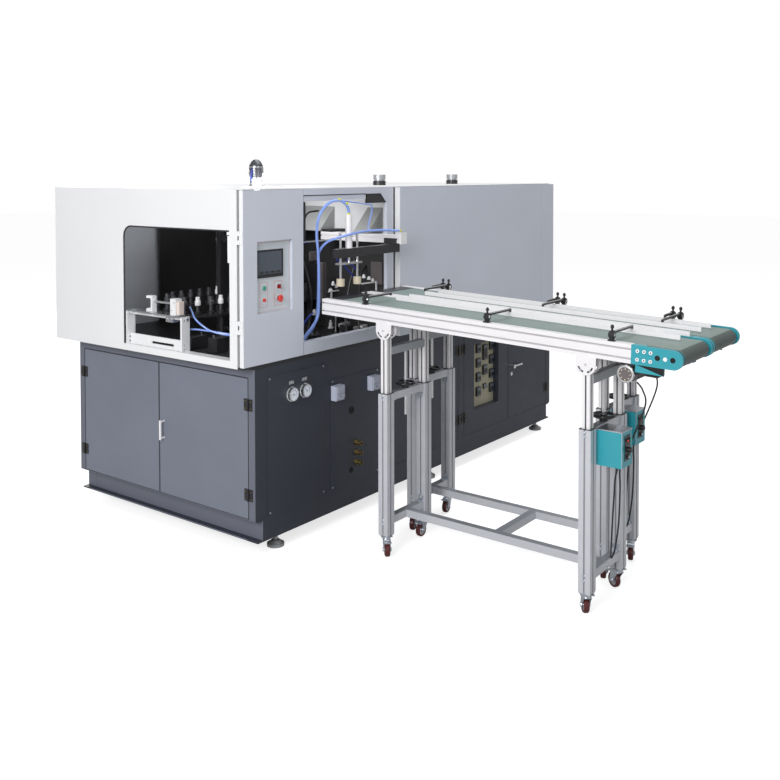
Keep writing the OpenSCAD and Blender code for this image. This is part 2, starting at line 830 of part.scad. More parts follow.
module gripper_head() {
    color(silver) union() {
        span_box([cups_x[0] - 22, takeout_y - 20, head_z], [cups_x[1] + 22, takeout_y + 20, head_z + 10]);
        for (x = cups_x) translate([x, takeout_y, cup_z + 30]) cylinder(r = rod_r, h = 270);
        translate([mould_x, takeout_y, head_z]) cylinder(r = piston_r, h = 200);
    }
    color([0.80, 0.76, 0.66]) for (x = cups_x) translate([x, takeout_y, cup_z]) difference() {
        cylinder(r = cup_r, h = 40);
        translate([0, 0, -1]) cylinder(r = 15, h = 25);
    }
}

// Preform track: a half ring and two straight runs on posts, with a row of mandrels along the middle.
track_r = 175;
track_w = 70;
track_z = 1190;
track_t = 12;
track_x0 = left + 330;
track_x1 = partition_x + hood_t;
track_cy = mould_y + track_r;
mandrel_pitch = cavity_pitch / 2;
bracket_y = [front + 490, front + 962];
rod_x = left - 45;
rod_z = 1226;
clamp_z = rod_z + 16;
rod_bar_r = 8;

module mandrel() {
    rotate_extrude($fn = 24)
        polygon([[0, 0], [22, 0], [22, 16], [10, 20], [10, 52], [17, 56], [17, 80], [12, 84],
        [12, 104], [0, 104]]);
}

module preform_track() {
    first_x = mould_x - cavity_pitch / 2;
    color([0.30, 0.30, 0.32]) translate([track_x0 - clear, track_cy, track_z])
        linear_extrude(track_t) difference() {
        circle(r = track_r + track_w / 2);
        circle(r = track_r - track_w / 2);
        translate([0, -2 * track_r]) square(4 * track_r);
    }
    color([0.30, 0.30, 0.32]) for (y = [-track_r, track_r])
        span_box([track_x0, track_cy + y - track_w / 2, track_z], [track_x1, track_cy + y + track_w / 2,
            track_z + track_t]);
    color([0.30, 0.30, 0.32]) for (x = [track_x0 + 40, track_x1 - 60], y = [-track_r, track_r])
        translate([x, track_cy + y, table_top]) cylinder(r = 16, h = track_z - table_top - clear);
    color(silver) for (i = [-3:7], y = [mould_y, mould_y + 2 * track_r])
        translate([first_x + i * mandrel_pitch, y, track_z + track_t + clear]) mandrel();
    color(silver) for (k = [0:6]) let (a = 103 + k * 154 / 6)
        translate([track_x0 + track_r * cos(a), track_cy + track_r * sin(a),
            track_z + track_t + clear]) mandrel();
    color(silver) for (y = bracket_y) difference() {
        span_box([rod_x - 28, y - 6, end_win_z], [rod_x + 28, y + 6, clamp_z - 2]);
        for (z = [12, 37, 169]) translate([rod_x - 8, y, end_win_z + z]) rotate([90, 0, 0])
            cylinder(r = 6, h = 20, center = true);
    }
    color(silver) difference() {
        span_box([rod_x - 4, bracket_y[0] + 6 + clear, end_win_z], [rod_x + 4, bracket_y[1] - 6 - clear,
            end_win_z + 58]);
        span_box([rod_x - 5, bracket_y[0] + 90, end_win_z + 16], [rod_x + 5, bracket_y[0] + 280,
            end_win_z + 30]);
    }
    color(silver) translate([rod_x, bracket_y[0] + 6 + clear, rod_z]) rotate([-90, 0, 0])
        cylinder(r = rod_bar_r, h = bracket_y[1] - bracket_y[0] - 12 - 2 * clear);
}

// The clamp slides on its rod. Its plate has two open forks for bottle necks, and carries a block and a jaw.
fork_y = [bracket_y[0] + 255, bracket_y[0] + 395];
module bottle_clamp() {
    slider_y = [bracket_y[0] + 75, bracket_y[0] + 135];
    plate_y = [bracket_y[0] + 20, bracket_y[1] - 30];
    plate_t = 8;
    upper_z = clamp_z + 63;
    jaw_y = bracket_y[0] + 262;
    color(silver) difference() {
        union() {
            span_box([rod_x - 22, slider_y[0], rod_z - 22], [rod_x + 22, slider_y[1], clamp_z]);
            span_box([rod_x - 55, plate_y[0], clamp_z], [rod_x + 20, plate_y[1], clamp_z + plate_t]);
            span_box([rod_x - 26, bracket_y[0] + 46, clamp_z + plate_t],
                [rod_x + 18, bracket_y[0] + 92, clamp_z + plate_t + 86]);
            span_box([rod_x - 12, jaw_y, clamp_z + plate_t], [rod_x + 18, jaw_y + 14,
                clamp_z + plate_t + 86]);
            for (z = [clamp_z + plate_t, clamp_z + plate_t + 72])
                span_box([rod_x - 12, jaw_y, z], [rod_x + 18, jaw_y + 52, z + 14]);
            translate([rod_x + 4, bracket_y[0] + 90, upper_z]) rotate([-90, 0, 0])
                cylinder(r = 7, h = jaw_y - bracket_y[0] - 88);
        }
        translate([rod_x, slider_y[0] - 1, rod_z]) rotate([-90, 0, 0])
            cylinder(r = rod_bar_r + clear, h = 80);
        for (y = fork_y) translate([rod_x - 36, y, clamp_z - 1]) {
            cylinder(r = 16, h = plate_t + 2);
            span_box([-40, -16, 0], [0, 16, plate_t + 2]);
        }
    }
}

// A tube along a list of points, with a ring of sides across the route at each point.
function unit(v) = v / norm(v);
function tangent(p, i) = unit(p[min(i + 1, len(p) - 1)] - p[max(i - 1, 0)]);
function side_of(t) = abs(t[2]) > 0.9 ? unit(cross(t, [0, 1, 0])) : unit(cross(t, [0, 0, 1]));
function ring(c, t, r, n) = let (u = side_of(t), v = cross(t, u))
    [for (k = [0:n - 1]) c + r * cos(360 * k / n) * u + r * sin(360 * k / n) * v];

module tube(p, r, n = 8) {
    m = len(p);
    points = [for (i = [0:m - 1]) each ring(p[i], tangent(p, i), r, n)];
    walls = [for (i = [0:m - 2], k = [0:n - 1])
        [i * n + k, i * n + (k + 1) % n, (i + 1) * n + (k + 1) % n, (i + 1) * n + k]];
    polyhedron(points, concat([[for (k = [0:n - 1]) n - 1 - k]], walls,
        [[for (k = [0:n - 1]) (m - 1) * n + k]]));
}

// A round curve through hand-chosen points, in the machine's own corner frame.
function blend_at(a, b, c, d, t) = 0.5 * (2 * b + (c - a) * t + (2 * a - 5 * b + 4 * c - d) * t * t
    + (3 * b - a - 3 * c + d) * t * t * t);
function smooth_route(p, steps) = concat([for (i = [0:len(p) - 2], s = [0:steps - 1])
    blend_at(p[max(i - 1, 0)], p[i], p[i + 1], p[min(i + 2, len(p) - 1)], s / steps)], [p[len(p) - 1]]);
corner = [left, front, 0];
function from_corner(p) = [for (q = p) q + corner];

hose_r = 8;
hose_main = [[420, 60, 1020.5], [420, 60, 1060], [440, 50, 1110], [498, 42, 1162], [540, 38, 1225],
    [539, 30, 1364],
    [524, 20, 1553], [488, 0, 1690], [489, -20, 1790], [535, -45, 1855], [590, -70, 1873], [635, -87, 1852],
    [657, -90, 1820], [660, -90, 1792]];
hose_branch = [[442, 64, 1020.5], [442, 64, 1060], [461, 58, 1106], [516, 54, 1153], [548, 53, 1222],
    [548, 44, 1364], [544, 38, 1500], [536, 34, 1553], [534, 10, 1600], [532, -40, 1640], [545, -95, 1662],
    [590, -124, 1676], [660, -127, 1684], [730, -125, 1690], [816, -118, 1692], [940, -130, 1690],
    [1050, -160, 1682]];
module blow_hose() {
    color([0.45, 0.58, 0.85]) {
        tube(smooth_route(from_corner(hose_main), 3), hose_r);
        tube(smooth_route(from_corner(hose_branch), 3), hose_r - 1);
    }
}

// Conveyors
conveyor_x = [left + 651, left + 651 + deck_pitch];
leg_y = [[front - 495, front - 495 - frame_pitch], [front - 395, front - 395 - frame_pitch]];
deck_y = front - 67;
half_w = deck_w / 2;
leg_x = half_w - beam_w / 2;
belt_half = half_w - beam_w - 5;
roller_z = -roller_r - belt_t - 3;
infeed_s = roller_r + belt_t + 3;
discharge_s = beam_l + end_plate_l - beam_h / 2 - 1;
pivot_drop = beam_h + 35;
axle_half = 10;
bed_z = -27;
slot_in = 8;
slot_depth = 11;
slot_lip = 4;
bore_half = beam_w / 2 + 0.5;
bar_z = 820;
bar_t = 40;
upper_bar_z = 1065;
low_bar_z = 160;

// Grooves of a slotted profile, cut where at is the middle of a groove's mouth and a is the way it faces.
module groove(at, a) {
    translate(at) rotate(a) union() {
        translate([-slot_depth, -slot_in]) square([slot_depth - slot_lip, 2 * slot_in]);
        translate([-slot_lip - 1, -slot_w / 2]) square([slot_lip + 2, slot_w]);
    }
}

module beam_profile() {
    difference() {
        translate([-beam_w / 2, -beam_h]) square([beam_w, beam_h]);
        groove([0, 0], 90);
        groove([0, -beam_h], -90);
        for (z = [-beam_h / 4, -beam_h * 3 / 4]) {
            groove([beam_w / 2, z], 0);
            groove([-beam_w / 2, z], 180);
        }
    }
}

module leg_profile() {
    difference() {
        square(beam_w, center = true);
        for (a = [0:90:270]) groove([beam_w / 2 * cos(a), beam_w / 2 * sin(a)], a);
    }
}

module outer_leg_profile() {
    difference() {
        square(leg_w, center = true);
        square(2 * bore_half, center = true);
        for (a = [0:90:270]) rotate(a) translate([leg_w / 2 - slot_lip, -slot_w / 2])
            square([slot_lip + 1, slot_w]);
    }
}

// Deck frame: the run goes along -Y from the infeed end, z = 0 is the beams' top.
module in_deck(i) {
    translate([conveyor_x[i], deck_y, deck_z]) rotate([deck_tilt, 0, 0]) children();
}

function leg_s(i, j) = (deck_y - leg_y[i][j] + pivot_drop * sin(deck_tilt)) / cos(deck_tilt);
function leg_pivot_z(i, j) = deck_z - leg_s(i, j) * sin(deck_tilt) - pivot_drop * cos(deck_tilt);

// A saddle under the beam with two round-ended cheeks and their arc slots.
module pivot_saddle() {
    cheek_r = 50;
    cheek_t = 4;
    slot_r = 36;
    drop = pivot_drop - beam_h;
    difference() {
        union() {
            for (x = [-beam_w / 2 - cheek_t - clear, beam_w / 2 + clear]) translate([x, 0, -pivot_drop])
                rotate([90, 0, 90]) linear_extrude(cheek_t) union() {
                    circle(r = cheek_r);
                    translate([-cheek_r, 0]) square([2 * cheek_r, drop]);
                }
            span_box([-beam_w / 2 - 1, -cheek_r, -beam_h - cheek_t], [beam_w / 2 + 1, cheek_r,
                -beam_h - clear]);
        }
        for (x = [-beam_w / 2 - cheek_t - 1, beam_w / 2 - 1]) translate([x, 0, -pivot_drop])
            rotate([90, 0, 90])
            linear_extrude(cheek_t + 2) for (s = [0, 1]) mirror([s, 0]) intersection() {
                difference() {
                    circle(r = slot_r + 4);
                    circle(r = slot_r - 4);
                }
                polygon([[0, 0], [-60, -20], [-60, -60], [-16, -60]]);
            }
    }
    for (s = [0, 1]) mirror([s, 0, 0]) translate([beam_w / 2 + cheek_t - 1, 0, -pivot_drop])
        rotate([0, 90, 0])
        cylinder(r = 7, h = 4);
}

// Knob clamp on the beam's top with an arm that reaches over the belt to a guide rail.
module rail_clamp(reach) {
    post = 46;
    span_box([-16, -14, clear], [16, 14, 6]);
    span_box([-10, -9, 6], [10, 9, post]);
    translate([0, 0, post]) cylinder(r = 5, h = 12);
    translate([0, 0, post + 12]) cylinder(r = 8, h = 8);
    translate([0, 13, post - 18]) rotate([90, 0, 0]) cylinder(r = 15, h = 26);
    span_box([5, -5, post - 14], [reach, 5, post - 6]);
    span_box([reach - 5, -5, rail_gap + rail_h + clear], [reach + 5, 5, post - 6]);
}

rail_h = 22;
rail_t = 4;
rail_gap = 4;
clamp_s = [290, 1050, 1700];
rail_from = 330;
rail_to = beam_l + 130;

// Rails stand just over the belt on their arms; x is measured from the conveyor's middle.
module guide_rail(x) {
    span_box([x - rail_t / 2, -rail_to, rail_gap], [x + rail_t / 2, -rail_from, rail_gap + rail_h]);
}

motor_s = beam_l - 30;
motor_r = 42;
motor_z = -beam_h - 54;

module gear_motor() {
    nose = -half_w + 22;
    gear_x = 40;
    plate_z = beam_h + 4;
    color(black) translate([0, -motor_s, motor_z]) union() {
        translate([nose, 0, 0]) rotate([0, 90, 0]) cylinder(r = motor_r, h = gear_x - nose, $fn = 8);
        translate([nose - 6, 0, 0]) rotate([0, 90, 0]) cylinder(r = motor_r - 6, h = 7);
        span_box([gear_x - 0.1, -66, -46], [gear_x + 84, 42, 40]);
        span_box([-half_w + 30, -30, 36], [-half_w + 40, 30, -motor_z - plate_z]);
        span_box([60, -30, 39], [100, 30, -motor_z - plate_z]);
    }
    color(black)
        span_box([-half_w + 30, -motor_s - 30, clear - plate_z], [belt_half, -motor_s + 30, -beam_h - clear]);
}

module deck(i, rails, clamp_side) {
    inner = half_w - beam_w - clear;
    color(hood_white) in_deck(i) {
        for (s = [-1, 1]) translate([s * leg_x, 0, 0]) rotate([90, 0, 0]) linear_extrude(beam_l)
            beam_profile();
        for (s = [140, 700, 1260, beam_l - 60]) span_box([-inner, -s - 30, bed_z - 30], [inner, -s, bed_z]);
        for (j = [0, 1], s = [-1, 1]) translate([s * leg_x, -leg_s(i, j), 0]) pivot_saddle();
    }
    color(panel_grey) in_deck(i) {
        span_box([-belt_half + 2, -discharge_s + roller_r + 8, bed_z + clear],
            [belt_half - 2, -infeed_s - roller_r - 8, -belt_t - 4]);
        for (s = [infeed_s, discharge_s]) translate([-belt_half, -s, roller_z]) rotate([0, 90, 0])
            cylinder(r = roller_r, h = 2 * belt_half);
        translate([-inner, -infeed_s, roller_z]) rotate([0, 90, 0]) cylinder(r = axle_half, h = 2 * inner);
        translate([-half_w + 12, -discharge_s, roller_z]) rotate([0, 90, 0])
            cylinder(r = axle_half, h = 2 * half_w - 24);
    }
    color(silver) in_deck(i) for (x = rails) guide_rail(x);
    color(black) in_deck(i) for (s = clamp_s, x = [for (r = rails) if (abs(r) > belt_half) r])
        span_box([x - 8, -s - 60, clear], [x + 8, -s - 36, rail_gap - clear]);
    color(black) in_deck(i) for (s = clamp_s, x = [for (r = rails) if (abs(r) < belt_half) r])
        translate([clamp_side * leg_x, -s - (x > 0 ? 0 : 40), 0]) mirror([clamp_side > 0 ? 1 : 0, 0, 0])
            rail_clamp(abs(x - clamp_side * leg_x));
    in_deck(i) gear_motor();
    for (j = [0, 1]) translate([conveyor_x[i], leg_y[i][j], 0]) {
        color(hood_white) for (s = [-1, 1]) translate([s * leg_x, 0, bar_z - 160])
            linear_extrude(leg_pivot_z(i, j) + 18 - bar_z + 160) leg_profile();
        color(panel_grey) span_box([-leg_x + beam_w / 2 + clear, -bar_t / 2, upper_bar_z],
            [leg_x - beam_w / 2 - clear, bar_t / 2, upper_bar_z + bar_t]);
        color(silver) translate([0, 0, bar_z - 105])
            cylinder(r = screw_r, h = upper_bar_z - bar_z + 105 - clear);
    }
}

module belt(i) {
    inner = roller_r + clear;
    color([0.33, 0.45, 0.40]) in_deck(i) translate([-belt_half + 0.5, 0, 0]) rotate([90, 0, 90])
        linear_extrude(2 * belt_half - 1) difference() {
            union() {
                for (s = [infeed_s, discharge_s]) translate([-s, roller_z]) circle(r = inner + belt_t);
                translate([-discharge_s, roller_z - inner - belt_t])
                    square([discharge_s - infeed_s, 2 * (inner + belt_t)]);
            }
            for (s = [infeed_s, discharge_s]) translate([-s, roller_z]) circle(r = inner);
            translate([-discharge_s, roller_z - inner]) square([discharge_s - infeed_s, 2 * inner]);
        }
}

module end_plates(i) {
    tip_r = beam_h / 2;
    plate_t = 16;
    boss_l = 60;
    bolt_s = [30, 60, 90];
    color(teal) in_deck(i) for (m = [0, 1]) mirror([m, 0, 0]) difference() {
        union() {
            translate([half_w - plate_t, 0, 0]) rotate([90, 0, 90]) linear_extrude(plate_t) union() {
                translate([-beam_l - end_plate_l + tip_r, -tip_r]) circle(r = tip_r);
                translate([-beam_l - end_plate_l + tip_r, -beam_h]) square([end_plate_l - tip_r, beam_h]);
            }
            span_box([half_w - beam_w, -beam_l - boss_l, -beam_h], [half_w - plate_t + 0.1, -beam_l, -0.5]);
            span_box([half_w - 10, -beam_l - 150, -beam_h - 34], [half_w - 4, -beam_l - 20, -beam_h + 1]);
        }
        for (s = [120, discharge_s - beam_l]) translate([half_w - 4, -beam_l - s, -tip_r]) rotate([0, 90, 0])
            cylinder(r = 12, h = 6);
        translate([half_w - plate_t - 1, -discharge_s, roller_z]) rotate([0, 90, 0])
            cylinder(r = axle_half + clear, h = 6);
    }
    color(silver) in_deck(i) for (m = [0, 1]) mirror([m, 0, 0]) {
        for (s = bolt_s, z = [-24, -62]) translate([half_w - 0.5, -beam_l - s, z]) rotate([0, 90, 0])
            cylinder(r = 8, h = 4.5);
        translate([half_w - 0.5, -beam_l - 155, -tip_r]) rotate([0, 90, 0]) cylinder(r = 9, h = 3);
    }
}

near_rails = [49, half_w - beam_w / 2 - 2];
far_rails = [-70, 65];
module deck_near() {
    deck(0, near_rails, -1);
}

module deck_far() {
    deck(1, far_rails, 1);
}

module belt_near() {
    belt(0);
}

module belt_far() {
    belt(1);
}

module end_plates_near() {
    end_plates(0);
}

module end_plates_far() {
    end_plates(1);
}

module conveyor_stands() {
    bar_x = leg_x - leg_w / 2 - clear;
    color(hood_white) for (i = [0, 1]) {
        for (j = [0, 1]) translate([conveyor_x[i], leg_y[i][j], 0]) {
            for (s = [-1, 1]) translate([s * leg_x, 0, leg_foot])
                linear_extrude(leg_top - leg_foot) outer_leg_profile();
            for (s = [-1, 1]) translate([s * leg_x, 0, leg_foot])
                cube([leg_w - 4, leg_w - 4, 12], center = true);
            difference() {
                for (z = [low_bar_z, bar_z])
                    span_box([-bar_x, -bar_t / 2, z], [bar_x, bar_t / 2, z + bar_t]);
                translate([0, 0, bar_z - 1]) cylinder(r = screw_r + 2, h = bar_t + 2);
            }
        }
        span_box([conveyor_x[i] - bar_t / 2, leg_y[i][1] + bar_t / 2 + clear, low_bar_z],
            [conveyor_x[i] + bar_t / 2, leg_y[i][0] - bar_t / 2 - clear, low_bar_z + bar_t]);
    }
    color(hood_white) span_box([conveyor_x[0] + bar_t / 2 + clear, front - 1090, low_bar_z],
        [conveyor_x[1] - bar_t / 2 - clear, front - 1050, low_bar_z + bar_t]);
}

// Handwheel on the lower crossbar; the lift screw passes through its hub.
module handwheel(i, j) {
    tube_r = 7;
    hub_h = 34;
    color(black) translate([conveyor_x[i], leg_y[i][j], bar_z + bar_t]) difference() {
        union() {
            cylinder(r1 = 20, r2 = 16, h = hub_h);
            translate([0, 0, hub_h - tube_r]) rotate_extrude() translate([wheel_r - tube_r, 0])
                circle(r = tube_r, $fn = 24);
            for (a = [0, 120, 240]) rotate(a) translate([0, -5, hub_h - 12])
                cube([wheel_r - tube_r, 10, 9]);
        }
        translate([0, 0, -1]) cylinder(r = screw_r + clear + 0.2, h = hub_h + 2);
    }
}

module handwheel_near_infeed() {
    handwheel(0, 0);
}

module handwheel_near_discharge() {
    handwheel(0, 1);
}

module handwheel_far_infeed() {
    handwheel(1, 0);
}

module handwheel_far_discharge() {
    handwheel(1, 1);
}

// Casters in order: near infeed, far infeed, near discharge, far discharge, each left then right.
caster_turn = [45, 0, 20, 10, 220, 240, 200, 20];
trail = 28;
axle_r = 5;
module at_caster(n) {
    pair = floor(n / 2);
    i = pair % 2;
    j = floor(pair / 2);
    s = n % 2 == 0 ? -1 : 1;
    translate([conveyor_x[i] + s * leg_x, leg_y[i][j], 0]) rotate(caster_turn[n]) children();
}

module caster_fork() {
    cheek_y = caster_w / 2 + 3;
    cheek_t = 3;
    span_box([-30, -30, leg_foot - 10], [30, 30, leg_foot - 6]);
    translate([0, 0, leg_foot - 22]) cylinder(r = 22, h = 13);
    span_box([-30, -cheek_y - cheek_t, leg_foot - 26], [22, cheek_y + cheek_t, leg_foot - 22]);
    for (s = [-1, 1]) translate([0, s * (cheek_y + cheek_t / 2) + cheek_t / 2, 0]) rotate([90, 0, 0])
        linear_extrude(cheek_t)
            polygon([[22, leg_foot - 22], [-30, leg_foot - 22], [-trail - 14, caster_r + 4],
            [-trail - 12, caster_r - 10], [-trail + 12, caster_r - 10], [0, 60]]);
    translate([-trail, 0, caster_r]) rotate([90, 0, 0])
        cylinder(r = axle_r, h = 2 * (cheek_y + cheek_t) + 8, center = true);
    for (s = [-1, 1]) translate([-trail, s * (cheek_y + cheek_t + 2), caster_r]) rotate([90, 0, 0])
        cylinder(r = 9, h = 5, center = true, $fn = 6);
    span_box([-58, -cheek_y - 4, 76], [-28, cheek_y + 4, 81]);
}

module caster_forks() {
    color(silver) for (n = [0:7]) at_caster(n) caster_fork();
}

module caster_wheel(n) {
    color([0.55, 0.12, 0.12]) at_caster(n) translate([-trail, 0, caster_r]) rotate([90, 0, 0]) difference() {
        rotate_extrude() polygon([[0, -caster_w / 2 - 2], [14, -caster_w / 2 - 2], [14, -caster_w / 2 + 3],
            [caster_r - 9, -caster_w / 2 + 3], [caster_r - 9, -caster_w / 2], [caster_r - 4, -caster_w / 2],
            [caster_r, -caster_w / 2 + 5], [caster_r, caster_w / 2 - 5], [caster_r - 4, caster_w / 2],
            [caster_r - 9, caster_w / 2], [caster_r - 9, caster_w / 2 - 3], [14, caster_w / 2 - 3],
            [14, caster_w / 2 + 2], [0, caster_w / 2 + 2]]);
        cylinder(r = axle_r + clear + 0.1, h = caster_w + 10, center = true);
    }
}

module caster_wheel_1() {
    caster_wheel(0);
}

module caster_wheel_2() {
    caster_wheel(1);
}

module caster_wheel_3() {
    caster_wheel(2);
}

module caster_wheel_4() {
    caster_wheel(3);
}

module caster_wheel_5() {
    caster_wheel(4);
}

module caster_wheel_6() {
    caster_wheel(5);
}

module caster_wheel_7() {
    caster_wheel(6);
}

module caster_wheel_8() {
    caster_wheel(7);
}

// Speed control boxes hang on the discharge crossbars, with a knob, a switch and two lamps.
box_w = 114;
box_d = 129;
box_z = [690, 855];
module control_boxes() {
    for (i = [0, 1]) translate([conveyor_x[i] - 131, leg_y[i][1] - bar_t / 2, 0]) {
        color(teal) span_box([0, -box_d, box_z[0]], [box_w, 0, box_z[1]]);
        color(black) span_box([28, -box_d - 3, box_z[0] + 30], [86, -box_d + 0.1, box_z[1] - 22]);
        color(silver) translate([57, -box_d - 2.9, box_z[0] + 78]) rotate([90, 0, 0])
            cylinder(r = 13, h = 14);
        color(black) span_box([44, -box_d - 8, box_z[0] + 38], [70, -box_d - 2.9, box_z[0] + 56]);
        color(silver) for (x = [42, 72]) translate([x, -box_d - 2.9, box_z[1] - 42]) rotate([90, 0, 0])
            cylinder(r = 6, h = 7);
    }
}

cable_r = 4;
cable_route = [[575, -1765, 689.4], [575, -1765, 640], [572, -1768, 580], [566, -1765, 430], [572,
    -1745, 300],
    [596, -1715, 244], [622, -1705, 300], [640, -1708, 500], [648, -1720, 640], [662, -1790, 800],
    [660, -1850, 960], [610, -1858, 1040], [560, -1853, 1084]];
module control_cables() {
    shift = [conveyor_x[1] - conveyor_x[0], leg_y[1][1] - leg_y[0][1], 0];
    color(black) for (i = [0, 1]) translate(i * shift)
        tube(smooth_route(from_corner(cable_route), 3), cable_r);
}

base_frame();
levelling_feet();
base_cabinet();
service_panels();
pressure_gauges();
socket_boxes();
pipe_fittings();
door_hinges();
machine_table();
hood_shell();
hood_end_panel();
hood_front_panel();
oven_cover();
roof_vents();
clamp_frame();
stretch_cylinder();
takeout_guide();
preform_track();
blow_hose();
conveyor_stands();
caster_forks();
control_boxes();
control_cables();
hmi_door();
operator_panel();
start_button();
stop_button();
selector_knob();
emergency_stop();
end_door_left();
end_door_right();
end_door_handle();
middle_door();
controller_door();
temperature_controllers();
right_door();
door_lever();
mould_back();
mould_front();
takeout_carriage();
gripper_head();
bottle_clamp();
deck_near();
belt_near();
end_plates_near();
deck_far();
belt_far();
end_plates_far();
handwheel_near_infeed();
handwheel_near_discharge();
handwheel_far_infeed();
handwheel_far_discharge();
caster_wheel_1();
caster_wheel_2();
caster_wheel_3();
caster_wheel_4();
caster_wheel_5();
caster_wheel_6();
caster_wheel_7();
caster_wheel_8();
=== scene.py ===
import math
import bmesh
import bpy
from mathutils import Matrix, Vector


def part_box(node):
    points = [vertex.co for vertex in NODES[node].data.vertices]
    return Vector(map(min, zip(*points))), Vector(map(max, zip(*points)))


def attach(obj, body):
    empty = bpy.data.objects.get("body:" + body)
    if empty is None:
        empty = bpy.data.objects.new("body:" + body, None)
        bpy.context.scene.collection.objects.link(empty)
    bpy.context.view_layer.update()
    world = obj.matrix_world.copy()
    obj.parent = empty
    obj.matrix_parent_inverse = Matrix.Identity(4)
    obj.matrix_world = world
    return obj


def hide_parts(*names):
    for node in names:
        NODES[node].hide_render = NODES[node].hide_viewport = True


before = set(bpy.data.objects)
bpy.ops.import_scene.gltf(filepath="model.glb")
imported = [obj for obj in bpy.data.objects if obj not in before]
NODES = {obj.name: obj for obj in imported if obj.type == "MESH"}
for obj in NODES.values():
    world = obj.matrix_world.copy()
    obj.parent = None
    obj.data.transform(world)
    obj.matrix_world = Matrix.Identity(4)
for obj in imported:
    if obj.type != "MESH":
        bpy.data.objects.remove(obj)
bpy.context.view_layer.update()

# Positions are given in millimetres from the base cabinet's left front corner on the floor.
LEFT, FRONT = -1630, -760
# Directions towards the front and upwards.
OUT, UP = (0, -1, 0), (0, 0, 1)
# Middles of the hinges, centres of the dials, face of the port plate, top of the table, roof cylinder's axis.
HINGE_Z = (335, 812)
GAUGES = ((273, 826), (378, 828))
PORT_PLATE_Y = -3.0
TABLE_TOP = 1021
CYLINDER = (660, 650)
# Camera in metres and radians.
CAMERA_AT = (-5.1029, -4.2848, 2.0248)
YAW, PITCH, ROLL = 0.6498, 0.0282, -0.0015


def at(x, y, z):
    """A corner-millimetre place in metres of the shared frame."""
    return Vector((LEFT + x, FRONT + y, z)) / 1000


# Materials
def tree(name):
    m = bpy.data.materials.new(name)
    m.use_nodes = True
    return m, m.node_tree.nodes, m.node_tree.links, m.node_tree.nodes["Principled BSDF"]


def noise(n, k, scale, detail=3.0, stretch=(1, 1, 1), rough=0.5):
    """A noise of the object's own place, in metres."""
    co = n.new("ShaderNodeTexCoord")
    mp = n.new("ShaderNodeMapping")
    mp.inputs["Scale"].default_value = stretch
    t = n.new("ShaderNodeTexNoise")
    t.inputs["Scale"].default_value = scale
    t.inputs["Detail"].default_value = detail
    t.inputs["Roughness"].default_value = rough
    k.new(co.outputs["Object"], mp.inputs["Vector"])
    k.new(mp.outputs["Vector"], t.inputs["Vector"])
    return t.outputs["Fac"]


def ramp(n, k, value, stops):
    r = n.new("ShaderNodeValToRGB")
    while len(r.color_ramp.elements) < len(stops):
        r.color_ramp.elements.new(0.5)
    for e, (p, c) in zip(r.color_ramp.elements, stops):
        e.position = p
        e.color = (*c, 1) if len(c) == 3 else c
    k.new(value, r.inputs["Fac"])
    return r.outputs["Color"]


def span(n, k, value, low, high):
    r = n.new("ShaderNodeMapRange")
    r.inputs["To Min"].default_value = low
    r.inputs["To Max"].default_value = high
    k.new(value, r.inputs["Value"])
    return r.outputs["Result"]


def bump(n, k, bsdf, value, strength, distance):
    b = n.new("ShaderNodeBump")
    b.inputs["Strength"].default_value = strength
    b.inputs["Distance"].default_value = distance
    k.new(value, b.inputs["Height"])
    k.new(b.outputs["Normal"], bsdf.inputs["Normal"])


def mix_of(c, f):
    return tuple(min(1.0, max(0.0, v * f)) for v in c)


def paint(name, color, rough=0.45, metal=0.0, peel=0.05, vary=0.05, coat=0.0, grain=(1, 1, 1), cloud=2.2):
    """Sprayed or moulded finish: slow drift of tone, fine peel and uneven gloss."""
    m, n, k, b = tree(name)
    tones = [(0.3, mix_of(color, 1 - vary)), (0.7, mix_of(color, 1 + vary))]
    k.new(ramp(n, k, noise(n, k, cloud, 5, grain), tones), b.inputs["Base Color"])
    k.new(span(n, k, noise(n, k, 14, 4, grain), rough - 0.07, rough + 0.07), b.inputs["Roughness"])
    b.inputs["Metallic"].default_value = metal
    if coat:
        b.inputs["Coat Weight"].default_value = coat
        b.inputs["Coat Roughness"].default_value = 0.12
    bump(n, k, b, noise(n, k, 420, 2, grain), peel, 0.0006)
    return m


def brushed(name, color, rough=0.32, grain=(60, 60, 1), metal=1.0):
    """Rolled, drawn or turned metal, with fine lines along one direction."""
    m, n, k, b = tree(name)
    lines = noise(n, k, 22, 6, grain)
    tones = [(0.25, mix_of(color, 0.84)), (0.75, mix_of(color, 1.06))]
    k.new(ramp(n, k, lines, tones), b.inputs["Base Color"])
    k.new(span(n, k, lines, rough - 0.08, rough + 0.12), b.inputs["Roughness"])
    b.inputs["Metallic"].default_value = metal
    bump(n, k, b, lines, 0.08, 0.0004)
    return m


M = {}
M["slate"] = paint("slate paint", (0.030, 0.035, 0.050), 0.44, vary=0.08)
# Slate paint end: a lighter copy of the slate paint, painted light on the end faces that look towards the key
# lamp.
M["slate_lit_end"] = paint("slate paint end", (0.126, 0.135, 0.172), 0.42, vary=0.05)
# Door paint: a lighter copy of the slate paint, painted light on the end doors, which face the key lamp.
M["door"] = paint("door paint", (0.160, 0.175, 0.222), 0.40, vary=0.06)
M["hood"] = paint("hood paint", (0.73, 0.735, 0.75), 0.38, vary=0.015)
# Panel paint: a darker blue-grey copy of the hood paint, painted shade on the sheets that face the front.
M["panel"] = paint("panel paint", (0.53, 0.56, 0.64), 0.36, vary=0.025)
# Hood inside: a dark copy of the hood paint, painted shade on the inner faces of the hood's sheets.
M["inside"] = paint("hood inside", (0.26, 0.27, 0.30), 0.5, vary=0.10)
